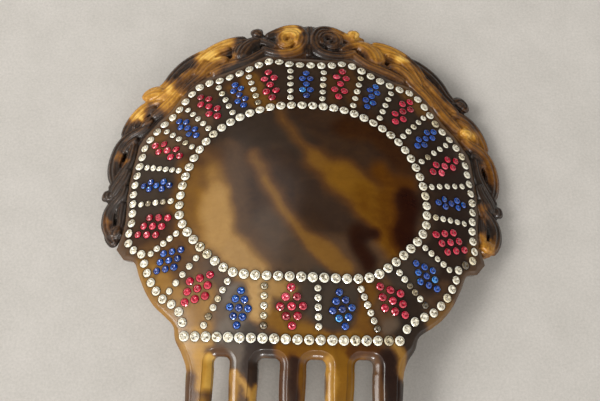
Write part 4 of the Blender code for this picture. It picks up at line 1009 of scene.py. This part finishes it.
tmw = painted(BORDER_DABS, uvw[:, :2], (0.40, 0.02, 0.10), 1.6, 0.55)
samples = np.concatenate(lines)
tree = KDTree(len(samples))
for i, q in enumerate(samples):
    tree.insert((q[0], q[1], 0.0), i)
tree.balance()
ridge_light_groove_shade = np.zeros(len(uvw))                        # painted light in lines along the ridges where they are thin, painted shade in the grooves between and along the strokes' low edges
for i, (u, v, w) in enumerate(uvw):
    _, k, far = tree.find((u, v, 0.0))
    q = samples[k]
    across = ((u - q[0]) * q[3] + (v - q[1]) * q[4]) / (WIDE * q[2])
    count_ = 5 if q[2] > 2.3 else 3 if q[2] > 1.25 else 2
    ridge_light_groove_shade[i] = math.cos(2 * math.pi * count_ * 0.5 * (1 + max(-1.0, min(1.0, across)))) * (1.0 if abs(across) < 1.0 else 0.0)
    if abs(across) > 0.92 and w < 0.5:
        ridge_light_groove_shade[i] = -1.6
# the hollow attribute is painted shade, darker where the carving lies low
border = build("scroll_border_carving", co, faces, CARVED_LOOK,
               [("tone", "POINT", tmw[:, 0]), ("milk", "POINT", tmw[:, 1]), ("warm", "POINT", tmw[:, 2]),
                ("ridge_light_groove_shade", "POINT", ridge_light_groove_shade), ("painted_hollow_shade", "POINT", np.clip((0.55 - uvw[:, 2]) / 1.3, 0, 1))],
               angle=60.0, stands_for=["scroll_border"])

# ------------------------------------------------------------------ floor, light and camera
floor_mesh = bpy.data.meshes.new("floor")
floor_mesh.from_pydata([(-3, -3, 0), (3, -3, 0), (3, 3, 0), (-3, 3, 0)], [], [(0, 1, 2, 3)])
floor = bpy.data.objects.new("floor", floor_mesh)
floor.location.z = -0.0002
bpy.context.scene.collection.objects.link(floor)
m, t, shader = new_material("pale_floor")
where = node(t, "ShaderNodeTexCoord").outputs["Object"]
weave = maths(t, "ADD", maths(t, "MULTIPLY", noise(t, where, 60.0, 6.0, 0.65), 0.4),
              maths(t, "MULTIPLY", noise(t, where, 1300.0, 3.0, 0.7), 0.6))
t.links.new(ramp(t, weave, [(0.3, srgb(192, 188, 181)), (0.7, srgb(219, 214, 208))]), shader.inputs["Base Color"])
shader.inputs["Roughness"].default_value = 0.85
floor_mesh.materials.append(m)

SCREEN, WALLS, CEILING, LEFT, RIGHT = 0.92, 0.63, 0.012, 0.13, 0.14
world = bpy.data.worlds.new("studio")
world.use_nodes = True
t = world.node_tree
axes = t.nodes.new("ShaderNodeSeparateXYZ")
t.links.new(node(t, "ShaderNodeTexCoord").outputs["Generated"], axes.inputs[0])


def step(value, low, high):
    """Smooth 0..1 as the value goes from low to high."""
    n = t.nodes.new("ShaderNodeMapRange")
    n.interpolation_type = "SMOOTHSTEP"
    n.inputs["From Min"].default_value, n.inputs["From Max"].default_value = min(low, high), max(low, high)
    n.inputs["To Min"].default_value, n.inputs["To Max"].default_value = (0.0, 1.0) if low < high else (1.0, 0.0)
    t.links.new(value, n.inputs["Value"])
    return n.outputs[0]


# a big pale screen on the front side of the table and pale walls low down, with a dark ceiling over the comb
screen = step(axes.outputs["Y"], -0.04, -0.40)
walls = step(axes.outputs["Z"], 0.34, 0.16)
left = step(axes.outputs["X"], 0.05, -1.0)
right_side = step(axes.outputs["X"], 0.30, 1.0)
rest_of = maths(t, "ADD", maths(t, "MULTIPLY", walls, WALLS), maths(t, "ADD", maths(t, "MULTIPLY", left, LEFT),
                                                              maths(t, "ADD", maths(t, "MULTIPLY", right_side, RIGHT), CEILING)))
t.links.new(maths(t, "ADD", maths(t, "MULTIPLY", screen, SCREEN), rest_of),
            t.nodes["Background"].inputs["Strength"])
t.nodes["Background"].inputs["Color"].default_value = (1.0, 0.975, 0.935, 1.0)
bpy.context.scene.world = world
bpy.context.scene.view_settings.view_transform = "Standard"

CENTRE = Vector(place([(0.0, 40.0, 0.0)])[0])


def softbox(name, direction, away, size, watts, colour=(1, 1, 1)):
    data = bpy.data.lights.new(name, "AREA")
    wide, high = size if isinstance(size, tuple) else (size, size)
    data.shape, data.size, data.size_y, data.energy, data.color = "RECTANGLE", wide, high, watts, colour
    obj = bpy.data.objects.new(name, data)
    d = (COMB.to_3x3() @ Vector(direction)).normalized()
    obj.location = CENTRE + d * away
    obj.rotation_euler = (-d).to_track_quat("-Z", "Y").to_euler()
    bpy.context.scene.collection.objects.link(obj)
    return obj


softbox("key", (-0.75, -0.12, 0.65), 2.2, 0.94, 32.0, (1.0, 0.985, 0.955))
softbox("veil", (-0.42, 0.32, 0.85), 0.8, (0.80, 0.46), 1.1, (1.0, 0.98, 0.96))


def sun(name, direction, strength, angle, colour=(1, 1, 1), only_gleam=False):
    data = bpy.data.lights.new(name, "SUN")
    data.energy, data.angle, data.color = strength, math.radians(angle), colour
    obj = bpy.data.objects.new(name, data)
    obj.rotation_euler = (-(COMB.to_3x3() @ Vector(direction))).to_track_quat("-Z", "Y").to_euler()
    obj.visible_diffuse = not only_gleam
    bpy.context.scene.collection.objects.link(obj)


sun("front", (0.03, -0.89, 0.46), 0.4, 14.0)
sun("gleam", (0.03, -0.89, 0.46), 1.2, 12.0, only_gleam=True)

f = math.radians
target = Vector((0.0, CREST_RADIUS * math.sin(39.9 / CREST_RADIUS), CREST_RADIUS * (math.cos(39.9 / CREST_RADIUS) - 1.0)))
look = Vector((0.0, math.sin(f(13.0)), -math.cos(f(13.0))))
up, right = Vector((0.0, math.cos(f(13.0)), math.sin(f(13.0)))), Vector((1.0, 0.0, 0.0))
eye = target - look * 271.0
turn = Matrix.Rotation(-1.2 / BOW_RADIUS, 3, "Y")
pivot = Vector((0.0, 0.0, -BOW_RADIUS))
eye = pivot + turn @ (eye - pivot)
look, up, right = turn @ look, turn @ up, turn @ right
cam_up = up * math.cos(f(2.3)) - right * math.sin(f(2.3))
cam_right = right * math.cos(f(2.3)) + up * math.sin(f(2.3))
basis = Matrix((cam_right, cam_up, -look)).transposed()
camera = bpy.data.objects.new("camera", bpy.data.cameras.new("camera"))
camera.data.lens, camera.data.sensor_width = 57.0, 36.0
camera.data.clip_start, camera.data.clip_end = 0.01, 20.0
camera.matrix_world = Matrix.Translation(COMB @ (eye * 0.001)) @ (COMB.to_3x3() @ basis).to_4x4()
bpy.context.scene.collection.objects.link(camera)
bpy.context.scene.camera = camera

bpy.context.view_layer.update()
